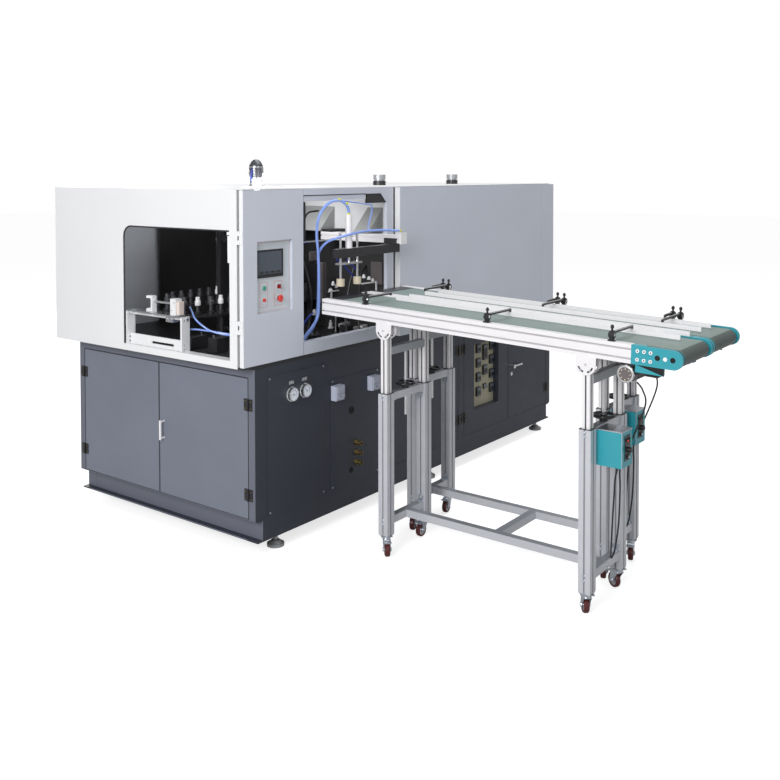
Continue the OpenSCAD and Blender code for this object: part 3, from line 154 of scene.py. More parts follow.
# Back wall lining: a pale lining tone, made brighter than the hood paint as painted light in the room behind
# the windows.
M["lining_painted_light"] = paint("back wall lining", (0.80, 0.83, 0.89), 0.5, vary=0.06)
M["duct"] = paint("duct paint", (0.35, 0.36, 0.355), 0.45, vary=0.06)
M["brown"] = paint("brown grey plate", (0.115, 0.100, 0.100), 0.5, vary=0.1)
# Dark inner board: partly a dark inner panel, partly painted shade on the partition's lower half.
M["board"] = paint("dark inner board", (0.030, 0.030, 0.031), 0.55, vary=0.2)
# Back wall board: a lighter copy of the dark board, painted light where the room is lit.
M["back_board_lit"] = paint("back wall board", (0.165, 0.165, 0.168), 0.55, vary=0.15)
M["alloy"] = paint("dull alloy", (0.36, 0.37, 0.385), 0.38, 0.5, 0.02, 0.05)
M["barrel"] = paint("cylinder barrel", (0.098, 0.104, 0.116), 0.30, 0.75, 0.02, 0.05)
M["steel"] = brushed("bright steel", (0.72, 0.73, 0.75), 0.24)
M["turned"] = brushed("turned steel", (0.78, 0.78, 0.80), 0.20, (1, 1, 70))
M["chrome"] = paint("chrome", (0.86, 0.87, 0.88), 0.12, 1.0, 0.01, 0.02)
M["black"] = paint("black metal", (0.022, 0.022, 0.025), 0.38, 0.0, 0.04, 0.2)
M["plastic"] = paint("black plastic", (0.016, 0.016, 0.018), 0.32, 0.0, 0.03, 0.25)
M["profile"] = paint("anodised profile", (0.80, 0.785, 0.805), 0.36, 0.15, 0.02, 0.03, grain=(1, 1, 8))
# Leg profile: a darker copy of the anodised profile, painted shade on the stands under the decks.
M["leg_profile"] = paint("leg profile", (0.55, 0.56, 0.60), 0.34, 0.25, 0.02, 0.03, grain=(1, 1, 8))
M["profile_dark"] = paint("profile in shade", (0.36, 0.38, 0.41), 0.34, 0.45, 0.02, 0.05)
M["groove"] = paint("slot shade", (0.30, 0.31, 0.335), 0.5, 0.2, 0.02, 0.05)
M["beam_groove"] = paint("beam slot shade", (0.62, 0.605, 0.63), 0.5, 0.1, 0.02, 0.05)
M["brass"] = brushed("dull brass", (0.28, 0.22, 0.10), 0.42)
M["teal"] = paint("teal paint", (0.022, 0.300, 0.365), 0.32, 0.0, 0.04, 0.04, 0.25)
M["grey_box"] = paint("pale grey box", (0.42, 0.45, 0.55), 0.42, 0.0, 0.04, 0.03)
M["plate"] = paint("control plate", (0.58, 0.62, 0.66), 0.34, 0.25, 0.02, 0.02)
M["green"] = paint("green cap", (0.02, 0.32, 0.20), 0.25, 0.0, 0.01, 0.04, 0.4)
M["red"] = paint("red cap", (0.62, 0.035, 0.025), 0.25, 0.0, 0.01, 0.04, 0.4)
M["knob_red"] = paint("dark red knob", (0.22, 0.012, 0.014), 0.25, 0.0, 0.01, 0.04, 0.4)
M["red_dark"] = paint("dark red wheel", (0.085, 0.014, 0.014), 0.36, 0.0, 0.03, 0.15)
M["hose"] = paint("blue hose", (0.22, 0.34, 0.78), 0.28, 0.0, 0.01, 0.04, 0.5)
M["cable"] = paint("black cable", (0.015, 0.015, 0.017), 0.42, 0.0, 0.05, 0.2)
M["belt"] = paint("belt", (0.175, 0.228, 0.212), 0.52, 0.0, 0.12, 0.05)
# Belt on the roller: a darker copy of the belt, painted shade on the faces that look to the front and down.
M["belt_shaded"] = paint("belt on the roller", (0.075, 0.098, 0.092), 0.52, 0.0, 0.12, 0.05)
M["pad"] = paint("pale pad", (0.70, 0.61, 0.56), 0.42, 0.0, 0.03, 0.03)
M["dark_steel"] = paint("dark steel", (0.10, 0.10, 0.11), 0.35, 0.6, 0.02, 0.1)
M["beige"] = paint("beige cup", (0.56, 0.50, 0.38), 0.42, 0.0, 0.03, 0.04)
M["mould"] = brushed("machined aluminium", (0.50, 0.51, 0.53), 0.36, (1, 1, 40), 0.85)
M["olive"] = paint("controller plate", (0.34, 0.32, 0.235), 0.5, 0.0, 0.03, 0.06)
M["screen"] = paint("touch screen", (0.075, 0.090, 0.115), 0.10, 0.0, 0.0, 0.10, 0.6)
M["dial"] = paint("dial face", (0.76, 0.80, 0.86), 0.35, 0.0, 0.0, 0.02)
M["dial_blue"] = paint("dial band", (0.10, 0.20, 0.42), 0.35, 0.0, 0.0, 0.05)
M["gasket"] = paint("rubber trim", (0.020, 0.021, 0.024), 0.55, 0.0, 0.08, 0.2)
# Dark hole: painted shade in holes, ports and bolt sockets.
M["hole"] = paint("dark hole", (0.006, 0.006, 0.007), 0.8, 0.0, 0.0, 0.3)
M["white"] = paint("white bolt", (0.80, 0.80, 0.81), 0.34, 0.0, 0.01, 0.02)
M["zinc"] = brushed("zinc plate", (0.66, 0.70, 0.76), 0.28, (8, 8, 8))
M["hose_dark"] = paint("dark blue hose", (0.02, 0.04, 0.36), 0.28, 0.0, 0.01, 0.04, 0.5)
M["yellow"] = paint("yellow tip", (0.62, 0.60, 0.05), 0.35)


def dress(node, base, *rules):
    """Materials of a CAD node: base, then each rule's material where its test of centre and normal holds."""
    o = NODES[node]
    o.data.materials.clear()
    o.data.materials.append(M[base])
    for mat, _ in rules:
        o.data.materials.append(M[mat])
    if rules:
        for p in o.data.polygons:
            c, v = p.center * 1000 - Vector((LEFT, FRONT, 0)), p.normal
            for i, (_, test) in enumerate(rules):
                if test(c, v):
                    p.material_index = i + 1
                    break
            else:
                p.material_index = 0


# Mesh pieces
def keep(name, bm, mat, body, smooth=False, local=None):
    """Makes the piece that a mesh in millimetres describes, and hangs it on its body."""
    for v in bm.verts:
        v.co = at(*v.co) if local is None else local @ v.co
    me = bpy.data.meshes.new(name)
    bm.normal_update()
    bm.to_mesh(me)
    bm.free()
    o = bpy.data.objects.new(name, me)
    bpy.context.scene.collection.objects.link(o)
    for m in mat if isinstance(mat, (list, tuple)) else [mat]:
        me.materials.append(M[m])
    if smooth:
        for p in me.polygons:
            p.use_smooth = True
        me.set_sharp_from_angle(angle=math.radians(35))
    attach(o, body)
    return o


def add_box(bm, lo, hi, bevel=0.8, mat=0, turn=None):
    """A box between two corners in millimetres, edges rounded by bevel."""
    lo, hi = Vector(lo), Vector(hi)
    r = bmesh.ops.create_cube(bm, size=1)
    vs = r["verts"]
    c, s = (lo + hi) / 2, hi - lo
    for v in vs:
        v.co = Vector((v.co.x * s.x, v.co.y * s.y, v.co.z * s.z))
    faces = list(dict.fromkeys(f for v in vs for f in v.link_faces))
    if bevel:
        edges = list(dict.fromkeys(e for v in vs for e in v.link_edges))
        out = bmesh.ops.bevel(bm, geom=edges, offset=bevel, segments=2, profile=0.5, affect="EDGES")
        faces = [f for f in faces if f.is_valid] + out["faces"]
    verts = list(dict.fromkeys(v for f in faces for v in f.verts))
    for f in faces:
        f.material_index = mat
    for v in verts:
        v.co = ((turn @ v.co) if turn else v.co) + c
    return verts


def add_lathe(bm, profile, place, segs=32, mat=0):
    """Turned shape: profile of (radius, height) points, placed by a matrix whose Z is the axis."""
    rings = []
    for r, h in profile:
        if r < 1e-6:
            rings.append([bm.verts.new(place @ Vector((0, 0, h)))])
        else:
            rings.append([bm.verts.new(place @ Vector((r * math.cos(2 * math.pi * i / segs),
                                                       r * math.sin(2 * math.pi * i / segs), h)))
                          for i in range(segs)])
    for a, b in zip(rings, rings[1:]):
        for i in range(segs):
            j = (i + 1) % segs
            ring = [a[i % len(a)], a[j % len(a)], b[j % len(b)], b[i % len(b)]]
            ring = [v for t, v in enumerate(ring) if v not in ring[:t]]
            if len(ring) > 2:
                bm.faces.new(ring).material_index = mat


def facing(p, axis):
    """Matrix that puts local Z along an axis at a point in millimetres."""
    z = Vector(axis).normalized()
    x = z.orthogonal().normalized()
    y = z.cross(x)
    return Matrix.Translation(Vector(p)) @ Matrix((x, y, z)).transposed().to_4x4()


def bolt(bm, p, axis, r=4.0, h=2.5, mat=0):
    """A socket screw head with a chamfer and a hexagonal socket."""
    profile = [(0, h * 0.35), (r * 0.45, h * 0.35), (r * 0.5, h), (r * 0.85, h), (r, h * 0.8), (r, -0.4)]
    add_lathe(bm, profile, facing(p, axis), 18, mat)


def smooth_line(points, steps=6):
    """Points on one smooth curve through the given ones."""
    p = [Vector(q) for q in points]
    out = []
    for i in range(len(p) - 1):
        a, b, c, d = p[max(i - 1, 0)], p[i], p[i + 1], p[min(i + 2, len(p) - 1)]
        for s in range(steps):
            t = s / steps
            out.append(0.5 * (2 * b + (c - a) * t + (2 * a - 5 * b + 4 * c - d) * t * t
                              + (3 * b - a - 3 * c + d) * t ** 3))
    return out + [p[-1]]


def add_tube(bm, pts, r, segs=12, mat=0):
    """A round bar of radius r along points, closed at both ends."""
    turns = [2 * math.pi * k / segs for k in range(segs)]
    rings, side = [], None
    for i, p in enumerate(pts):
        t = (pts[min(i + 1, len(pts) - 1)] - pts[max(i - 1, 0)]).normalized()
        side = (side - t * side.dot(t)).normalized() if side is not None else t.orthogonal().normalized()
        v = t.cross(side)
        rings.append([bm.verts.new(p + (side * math.cos(a) + v * math.sin(a)) * r) for a in turns])
    for a, b in zip(rings, rings[1:]):
        for i in range(segs):
            bm.faces.new([a[i], a[(i + 1) % segs], b[(i + 1) % segs], b[i]]).material_index = mat
    bm.faces.new(rings[0][::-1]).material_index = mat
    bm.faces.new(rings[-1]).material_index = mat


# Camera, light and floor
def set_stage():
    """Camera, pale world, lamps and the floor."""
    scene = bpy.context.scene
    cam = bpy.data.cameras.new("camera")
    cam.sensor_width = 36
    cam.lens = 43.685
    cam.shift_y = -0.2437
    cam.clip_end = 60
    co = bpy.data.objects.new("camera", cam)
    fwd = Vector((math.cos(YAW) * math.cos(PITCH), math.sin(YAW) * math.cos(PITCH), -math.sin(PITCH)))
    right = Vector((math.sin(YAW), -math.cos(YAW), 0))
    up = right.cross(fwd)
    right, up = right * math.cos(ROLL) + up * math.sin(ROLL), up * math.cos(ROLL) - right * math.sin(ROLL)
    co.matrix_world = Matrix.Translation(CAMERA_AT) @ Matrix((right, up, -fwd)).transposed().to_4x4()
    scene.collection.objects.link(co)
    scene.camera = co

    world = bpy.data.worlds.new("studio")
    scene.world = world
    world.use_nodes = True
    n, k = world.node_tree.nodes, world.node_tree.links
    bg = n["Background"]
    path = n.new("ShaderNodeLightPath")
    seen = n.new("ShaderNodeMath")
    seen.operation = "MAXIMUM"
    k.new(path.outputs["Is Camera Ray"], seen.inputs[0])
    k.new(path.outputs["Is Transmission Ray"], seen.inputs[1])
    s = n.new("ShaderNodeMapRange")
    s.inputs["To Min"].default_value = 0.46
    s.inputs["To Max"].default_value = 1.0
    k.new(seen.outputs[0], s.inputs["Value"])
    k.new(s.outputs["Result"], bg.inputs["Strength"])
    bg.inputs["Color"].default_value = (1, 1, 1, 1)

    def area(name, place, aim, size, power):
        d = bpy.data.lights.new(name, "AREA")
        d.shape = "DISK"
        d.size = size
        d.energy = power
        o = bpy.data.objects.new(name, d)
        o.location = place
        o.rotation_euler = (Vector(aim) - Vector(place)).to_track_quat("-Z", "Y").to_euler()
        scene.collection.objects.link(o)

    area("key", (-7.5, -2.6, 3.6), (-0.6, 0.0, 1.0), 3.5, 390)
    area("top", (0.5, -1.0, 6.5), (0, -0.6, 1.0), 5.0, 225)
    area("fill", (-2.0, -8.5, 3.0), (-0.3, -0.6, 1.0), 4.0, 45)
    area("back", (3.0, 7.5, 4.0), (0.0, 0.0, 1.0), 4.0, 150)
    area("room", (-0.95, -0.30, 1.925), (-0.62, 0.10, 1.2), 0.45, 7)
    area("end_room", (-1.45, -0.10, 1.92), (-1.40, 0.60, 1.2), 0.40, 2)

    bm = bmesh.new()
    for x, y in ((-40, -40), (40, -40), (40, 40), (-40, 40)):
        bm.verts.new((x, y, 0))
    bm.verts.ensure_lookup_table()
    bm.faces.new(bm.verts)
    me = bpy.data.meshes.new("floor")
    bm.to_mesh(me)
    bm.free()
    floor = bpy.data.objects.new("floor", me)
    scene.collection.objects.link(floor)
    m, n, k, b = tree("floor")
    b.inputs["Base Color"].default_value = (0.9, 0.9, 0.9, 1)
    b.inputs["Roughness"].default_value = 0.9
    glow = n.new("ShaderNodeEmission")
    mix = n.new("ShaderNodeMixShader")
    mix.inputs["Fac"].default_value = 0.42
    k.new(b.outputs["BSDF"], mix.inputs[1])
    k.new(glow.outputs["Emission"], mix.inputs[2])
    lp = n.new("ShaderNodeLightPath")
    gain = n.new("ShaderNodeMath")
    gain.operation = "MULTIPLY"
    gain.inputs[1].default_value = 1.75
    k.new(lp.outputs["Is Camera Ray"], gain.inputs[0])
    k.new(gain.outputs[0], glow.inputs["Strength"])
    k.new(mix.outputs["Shader"], n["Material Output"].inputs["Surface"])
    me.materials.append(m)
    scene.view_settings.view_transform = "Standard"


set_stage()

# The conveyors' own frame
TILT = math.radians(1.9)
CONVEYOR_X = (651, 1045)
LEG_Y = ((-495, -1650), (-395, -1550))
# Height of the beams' infeed ends, length of the beams, and legs from the deck's middle.
DECK_Z, BEAM_L, LEG_X = 1331.0, 1800.0, 172.5
# Below, in the deck's own frame: saddles' cheeks from the legs and their pivots, rail clamps, motor's axis.
CHEEK, SADDLE_Z = 23.8, -120
CLAMP_Y = (290, 1050, 1700)
MOTOR_Y, MOTOR_Z = -1770, -139
DECK = [Matrix.Translation(at(x, -67, DECK_Z)) @ Matrix.Rotation(TILT, 4, "X") @ Matrix.Scale(0.001, 4)
        for x in CONVEYOR_X]
UNDECK = [m.inverted() for m in DECK]


def in_deck(i, c):
    """A corner-millimetre place in the frame of deck i: x across, y along, z from the beams' top."""
    return UNDECK[i] @ at(*c)


# Materials of the CAD nodes
def dress_all():
    """Materials of every CAD node. The tests take a face's centre in corner millimetres and its normal."""
    # Faces of the plinth and cabinet that look to -X get the lighter slate copy: painted light on the lit
    # end.
    dress("base_frame", "slate", ("slate_lit_end", lambda c, v: v.x < -0.9))
    dress("base_cabinet", "slate", ("slate_lit_end", lambda c, v: v.x < -0.9 and c.x < 10))
    dress("levelling_feet", "alloy")
    dress("service_panels", "slate")
    dress("pressure_gauges", "chrome")
    dress("socket_boxes", "grey_box")
    dress("pipe_fittings", "brass")
    dress("door_hinges", "plastic", ("hood", lambda c, v: c.z > 1100))
    dress("machine_table", "black")
    # The back wall's inner face gets the brighter lining paint: partly its pale lining, partly painted light.
    dress("hood_shell", "hood", ("lining_painted_light", lambda c, v: v.y < -0.9 and c.y > 1600),
          ("duct", lambda c, v: 1030 < c.x < 1199 and c.z > 1640))
    # Inner faces of the end panel, front panel and operator door get the dark hood-inside paint: painted
    # shade inside the hood.
    dress("hood_end_panel", "hood", ("inside", lambda c, v: v.x > 0.9 and c.x < 0 and c.z > 1100))
    # Front panel in the darker panel copy of the hood paint: painted shade on the front.
    dress("hood_front_panel", "panel", ("inside", lambda c, v: v.y > 0.9 and c.x > 1000),
          ("gasket", lambda c, v: c.z > 1870 and v.z < -0.5 and c.x < 930))
    # Oven cover: end face in the pale hood paint, other faces in the darker panel copy; painted light and
    # shade by which way a face looks.
    dress("oven_cover", "panel", ("hood", lambda c, v: v.x < -0.9 and c.x < 1220))
    dress("roof_vents", "alloy", ("plastic", lambda c, v: c.z < 1972))
    dress("clamp_frame", "black")
    dress("stretch_cylinder", "barrel", ("turned", lambda c, v: c.z < 1930))
    dress("takeout_guide", "profile", ("black", lambda c, v: c.z > 1655.5 and c.y > 370))
    dress("preform_track", "black", ("hood", lambda c, v: c.x < 0), ("white", lambda c, v: c.z > 1255 and any(
            math.hypot(c.x - x, c.y - y) < 48 for x, y in ((381, 855), (364, 650), (660, 1000), (216, 683)))),
          ("dark_steel", lambda c, v: c.z > 1222))
    dress("blow_hose", "hose")
    # Stands in the darker leg profile: painted shade.
    dress("conveyor_stands", "leg_profile", ("groove", stand_groove),
          ("profile_dark", lambda c, v: v.z > 0.9))
    dress("caster_forks", "zinc")
    dress("control_boxes", "teal", ("plastic", box_face))
    dress("control_cables", "cable")
    # Operator door: end faces in the pale hood paint, front in the darker panel copy; painted light and shade
    # by which way a face looks.
    dress("hmi_door", "panel", ("hood", lambda c, v: v.x < -0.9 and c.x < -70 or c.x < -78.5),
          ("inside", lambda c, v: v.y > 0.9 and c.y < 5))
    dress("operator_panel", "plate",
          ("plastic", lambda c, v: 30 <= c.x <= 229 and 1474 <= c.z <= 1622 and c.y < 17.9),
          ("chrome", lambda c, v: c.z < 1440 and c.y < 17.9))
    dress("start_button", "green")
    dress("stop_button", "red")
    dress("selector_knob", "knob_red")
    dress("emergency_stop", "red")
    end_hinge = ("plastic", lambda c, v: c.x < 0 and min(abs(c.z - z) for z in HINGE_Z) < 40)
    # End doors in the lighter door paint: painted light, a lit copy of the front doors' slate.
    dress("end_door_left", "door", end_hinge)
    dress("end_door_right", "door", end_hinge)
    dress("end_door_handle", "profile")
    front_hinge = ("plastic", lambda c, v: c.y < 0)
    dress("middle_door", "slate", front_hinge)
    dress("controller_door", "slate", front_hinge)
    dress("temperature_controllers", "olive", ("plastic", lambda c, v: c.y < 44.5))
    dress("right_door", "slate", front_hinge)
    dress("door_lever", "chrome")
    dress("mould_back", "mould", ("turned", lambda c, v: c.y > 718.5))
    dress("mould_front", "mould", ("turned", lambda c, v: c.y < 581.5))
    dress("takeout_carriage", "black", ("profile", lambda c, v: c.z > 1600.5 and c.x < 720))
    dress("gripper_head", "turned", ("beige", lambda c, v: c.z < 1430.5 and c.z > 1380))
    dress("bottle_clamp", "steel", ("hood", lambda c, v: c.z > 1250.2 and (c.y < 583 or c.y > 751)))
    for i, name in enumerate(("near", "far")):
        on_clamp = lambda c, v, i=i: (p := in_deck(i, c)).z > 0.2 and min(
            abs(-p.y - s - d) for s in CLAMP_Y for d in (0, 40)) < 17 and not (
            3.9 < p.z < 26.2 and any(abs(p.x - r) < 2.2 for r in (49, 170.5, -70, 65)))
        motor = lambda c, v, i=i: (p := in_deck(i, c)).z < -85.5 and -p.y > 1700 and abs(p.x) < 165
        plain = lambda c, v, i=i: abs((p := in_deck(i, c)).x) < 151 and -60 < p.z < -5
        shade = lambda c, v, i=i: v.z < -0.9 or (1065 <= c.z <= 1105.5 and abs(c.x - CONVEYOR_X[i]) < 150)
        bar = lambda c, v, i=i: abs(c.x - CONVEYOR_X[i]) < 12 and abs(v.z) < 0.5 and c.z < 1066
        dress("deck_" + name, "profile", ("plastic", on_clamp), ("black", motor), ("turned", bar),
              ("steel", plain),
              ("beam_groove", lambda c, v, i=i: beam_groove(in_deck(i, c))),
              ("groove", lambda c, v, i=i: leg_groove(i, c)), ("profile_dark", shade))
        # Belt faces that look to the front or down get the darker belt copy: painted shade.
        dress("belt_" + name, "belt", ("belt_shaded", lambda c, v: v.y < -0.3 or v.z < -0.5))
        # hole faces in the end plates get the dark hole paint: painted shade
        dress("end_plates_" + name, "teal", ("white", lambda c, v, i=i: abs(in_deck(i, c).x) > 192.7),
              ("hole", lambda c, v, i=i: 188 < abs(in_deck(i, c).x) < 192.3 and in_deck(i, c).y < -1900))
        for end in ("infeed", "discharge"):
            dress("handwheel_%s_%s" % (name, end), "plastic")
    for i in range(8):
        lo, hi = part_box("caster_wheel_%d" % (i + 1))
        tread = lambda c, v, hub=(lo + hi) / 2: (at(*c) - hub).length > 0.0255
        dress("caster_wheel_%d" % (i + 1), "steel", ("red_dark", tread))


def stand_groove(c, v):
    """Inside the slots of the outer legs."""
    for i in (0, 1):
        for s in (-1, 1):
            for y in LEG_Y[i]:
                dx, dy = abs(c.x - CONVEYOR_X[i] - s * LEG_X), abs(c.y - y)
                if dx < 31 and dy < 31 and 24 < max(dx, dy) < 29.5 and min(dx, dy) < 4.6:
                    return True
    return False


def beam_groove(p):
    """Inside the slots of the beams, for a place in the deck's frame."""
    return -84 < p.z < -1 and -BEAM_L < p.y < 0 and abs(abs(p.x) - LEG_X) < 19.5


def leg_groove(i, c):
    """Inside the slots of the inner legs."""
    dx = abs(abs(in_deck(i, c).x) - LEG_X)
    dy = min(abs(c.y - y) for y in LEG_Y[i])
    return c.z < 1200 and dx < 19.4 and dy < 19.4


def box_face(c, v):
    """The sunk control face of each speed control box, and what stands on it."""
    for i in (0, 1):
        if c.y < LEG_Y[i][1] - 149.5 and abs(c.x - CONVEYOR_X[i] + 74) < 58 and c.y > LEG_Y[i][1] - 190:
            return v.y > -0.9 or abs(c.x - CONVEYOR_X[i] + 74) < 29.5
    return False


dress_all()

# Details of hood and cabinet
def flat_frame(bm, x0, x1, z0, z1, y0, y1, w, mat=0):
    """A thin rectangular outline on a face that looks towards -Y."""
    for lo, hi in (((x0, y0, z0), (x1, y1, z0 + w)), ((x0, y0, z1 - w), (x1, y1, z1)),
                   ((x0, y0, z0 + w), (x0 + w, y1, z1 - w)), ((x1 - w, y0, z0 + w), (x1, y1, z1 - w))):
        add_box(bm, lo, hi, 0, mat)


def plinth_corners():
    """The end channels' webs and flanges run on across the ends of the long channels."""
    bm = bmesh.new()
    for x0, x1, w0, w1 in ((16, 54.8, 54, 54.8), (3205.2, 3244, 3205.2, 3206)):
        for y0, y1 in ((0, 78.2), (1441.8, 1520)):
            # the webs take the lighter slate copy, painted light like the end faces
            add_box(bm, (w0, y0, 88), (w1, y1, 192), 0, 1)
            for z in (80, 192):
                add_box(bm, (x0, y0, z), (x1, y1, z + 7.9), 0, 0)
    keep("plinth_corners", bm, ["slate", "slate_lit_end"], "machine")


def door_edges():
    """Dark seals along the edges of the doors."""
    for body, y0, y1 in (("end_door_right", 50, 768), ("end_door_left", 771, 1472)):
        bm = bmesh.new()
        for lo, hi in (((y0, 205), (y1, 207.5)), ((y0, 949.5), (y1, 953)), ((y0, 207.5), (y0 + 3.5, 949.5)),
                       ((y1 - 3.5, 207.5), (y1, 949.5))):
            add_box(bm, (-0.35, lo[0], lo[1]), (0, hi[0], hi[1]), 0)
        keep(body + "_edge", bm, "gasket", body)
    for body, x0, x1 in (("middle_door", 1180, 1932), ("controller_door", 2006, 2606),
                         ("right_door", 2609, 3195)):
        bm = bmesh.new()
        flat_frame(bm, x0, x1, 205, 953, -0.35, 0, 2.5)
        keep(body + "_edge", bm, "gasket", body)


def hood_trim():
    """Rubber trim of both windows, the operator door's seal and the hood's screws."""
    bm = bmesh.new()
    arc = [(-78.5, 913 + 60 * math.sin(a), 1666 + 60 * math.cos(a))
           for a in (math.radians(t) for t in range(90, -1, -9))]
    add_tube(bm, [Vector(p) for p in [(-78.5, 973, 1052)] + arc + [(-78.5, 103, 1726)]], 4.5, 10)
    add_tube(bm, [Vector(p) for p in ((930, 3, 1903), (385, 3, 1903))], 3.5, 8)
    keep("window_edge_trim", bm, "gasket", "machine", True)

    bm = bmesh.new()
    add_box(bm, (377, 5, 1250), (380, 26, 1902), 0.8)
    keep("door_edge_seal", bm, "gasket", "operator_door")

    bm = bmesh.new()
    for x in (1300, 1700, 2100, 2500, 2900):
        bolt(bm, (x, -36, 1928), UP, 5, 2.5)
    for z in (1060, 1300, 1540, 1780):
        bolt(bm, (1206, -0.1, z), OUT, 4, 2)
    keep("hood_screws", bm, "zinc", "machine", True)


def operator_details():
    """Outlines, bare plates and the lit screen of the operator panel."""
    bm = bmesh.new()
    flat_frame(bm, 29, 281, 1294, 1661, 17.8, 18.0, 1.0)
    for x in (86, 195):
        flat_frame(bm, x - 30, x + 30, 1318, 1450, 17.8, 18.0, 1.2)
    keep("panel_outlines", bm, "red", "operator_door")

    bm = bmesh.new()
    for x in (86, 195):
        for z in (1334, 1397):
            add_box(bm, (x - 8, 17.6, z - 3), (x + 8, 18.0, z + 1), 0)
    for i in range(5):
        add_box(bm, (104 + i * 20, 17.6, 1636), (114 + i * 20, 18.0, 1644), 0)
    keep("panel_bare_plates", bm, "panel", "operator_door")

    bm = bmesh.new()
    add_lathe(bm, [(0, 0.4), (7, 0.2), (7.5, -0.6)], facing((195, 2.8, 1356), OUT), 24)
    keep("emergency_stop_face", bm, "white", "emergency_stop", True)

    bm = bmesh.new()
    add_box(bm, (40, 13.2, 1493), (219, 13.5, 1612), 0)
    for i in range(4):
        add_box(bm, (52 + i * 42, 13.0, 1497), (82 + i * 42, 13.25, 1507), 0, 1)
    keep("screen_face", bm, ["screen", "plastic"], "operator_door")


def gauge_faces():
    """Dials with plain marks, a band, a pointer and its boss, and the bare plates above."""
    for i, (gx, gz) in enumerate(GAUGES):
        bm = bmesh.new()
        m = facing((gx, -22.1, gz), OUT)
        add_lathe(bm, [(0, 0.3), (31.6, 0.3), (31.6, 0)], m, 48, 0)
        for t in range(-135, 136, 15):
            a = math.radians(t)
            big = t % 45 == 0
            d = Vector((math.sin(a), 0, math.cos(a)))
            c = Vector((gx, -22.6, gz)) + d * (26 if big else 27)
            turn = Matrix.Rotation(a, 3, "Y")
            half = 3 if big else 1.8
            add_box(bm, (c.x - 0.6, -22.7, c.z - half), (c.x + 0.6, -22.45, c.z + half), 0, 1, turn)
        for t in range(0, 9):
            a = math.radians(20 + t * 12)
            c = Vector((gx + 22 * math.sin(a), -22.6, gz + 22 * math.cos(a)))
            turn = Matrix.Rotation(a, 3, "Y")
            add_box(bm, (c.x - 2.3, -22.65, c.z - 1.2), (c.x + 2.3, -22.45, c.z + 1.2), 0, 2, turn)
        a = math.radians(-100 + 60 * i)
        c = Vector((gx + 8 * math.sin(a), -23.2, gz + 8 * math.cos(a)))
        turn = Matrix.Rotation(a, 3, "Y")
        add_box(bm, (c.x - 0.8, -23.4, c.z - 15), (c.x + 0.8, -23.0, c.z + 15), 0, 2, turn)
        add_lathe(bm, [(0, 2.2), (3, 2.0), (3, 0.3)], facing((gx, -22.4, gz), OUT), 16, 1)
        keep("gauge_face_%d" % (i + 1), bm, ["dial", "plastic", "dial_blue"], "machine")
    bm = bmesh.new()
    for gx, gz in GAUGES:
        add_box(bm, (gx - 19, -4.2, gz + 54), (gx + 19, -3.0, gz + 72), 0.3)
    keep("gauge_plates", bm, "steel", "machine")


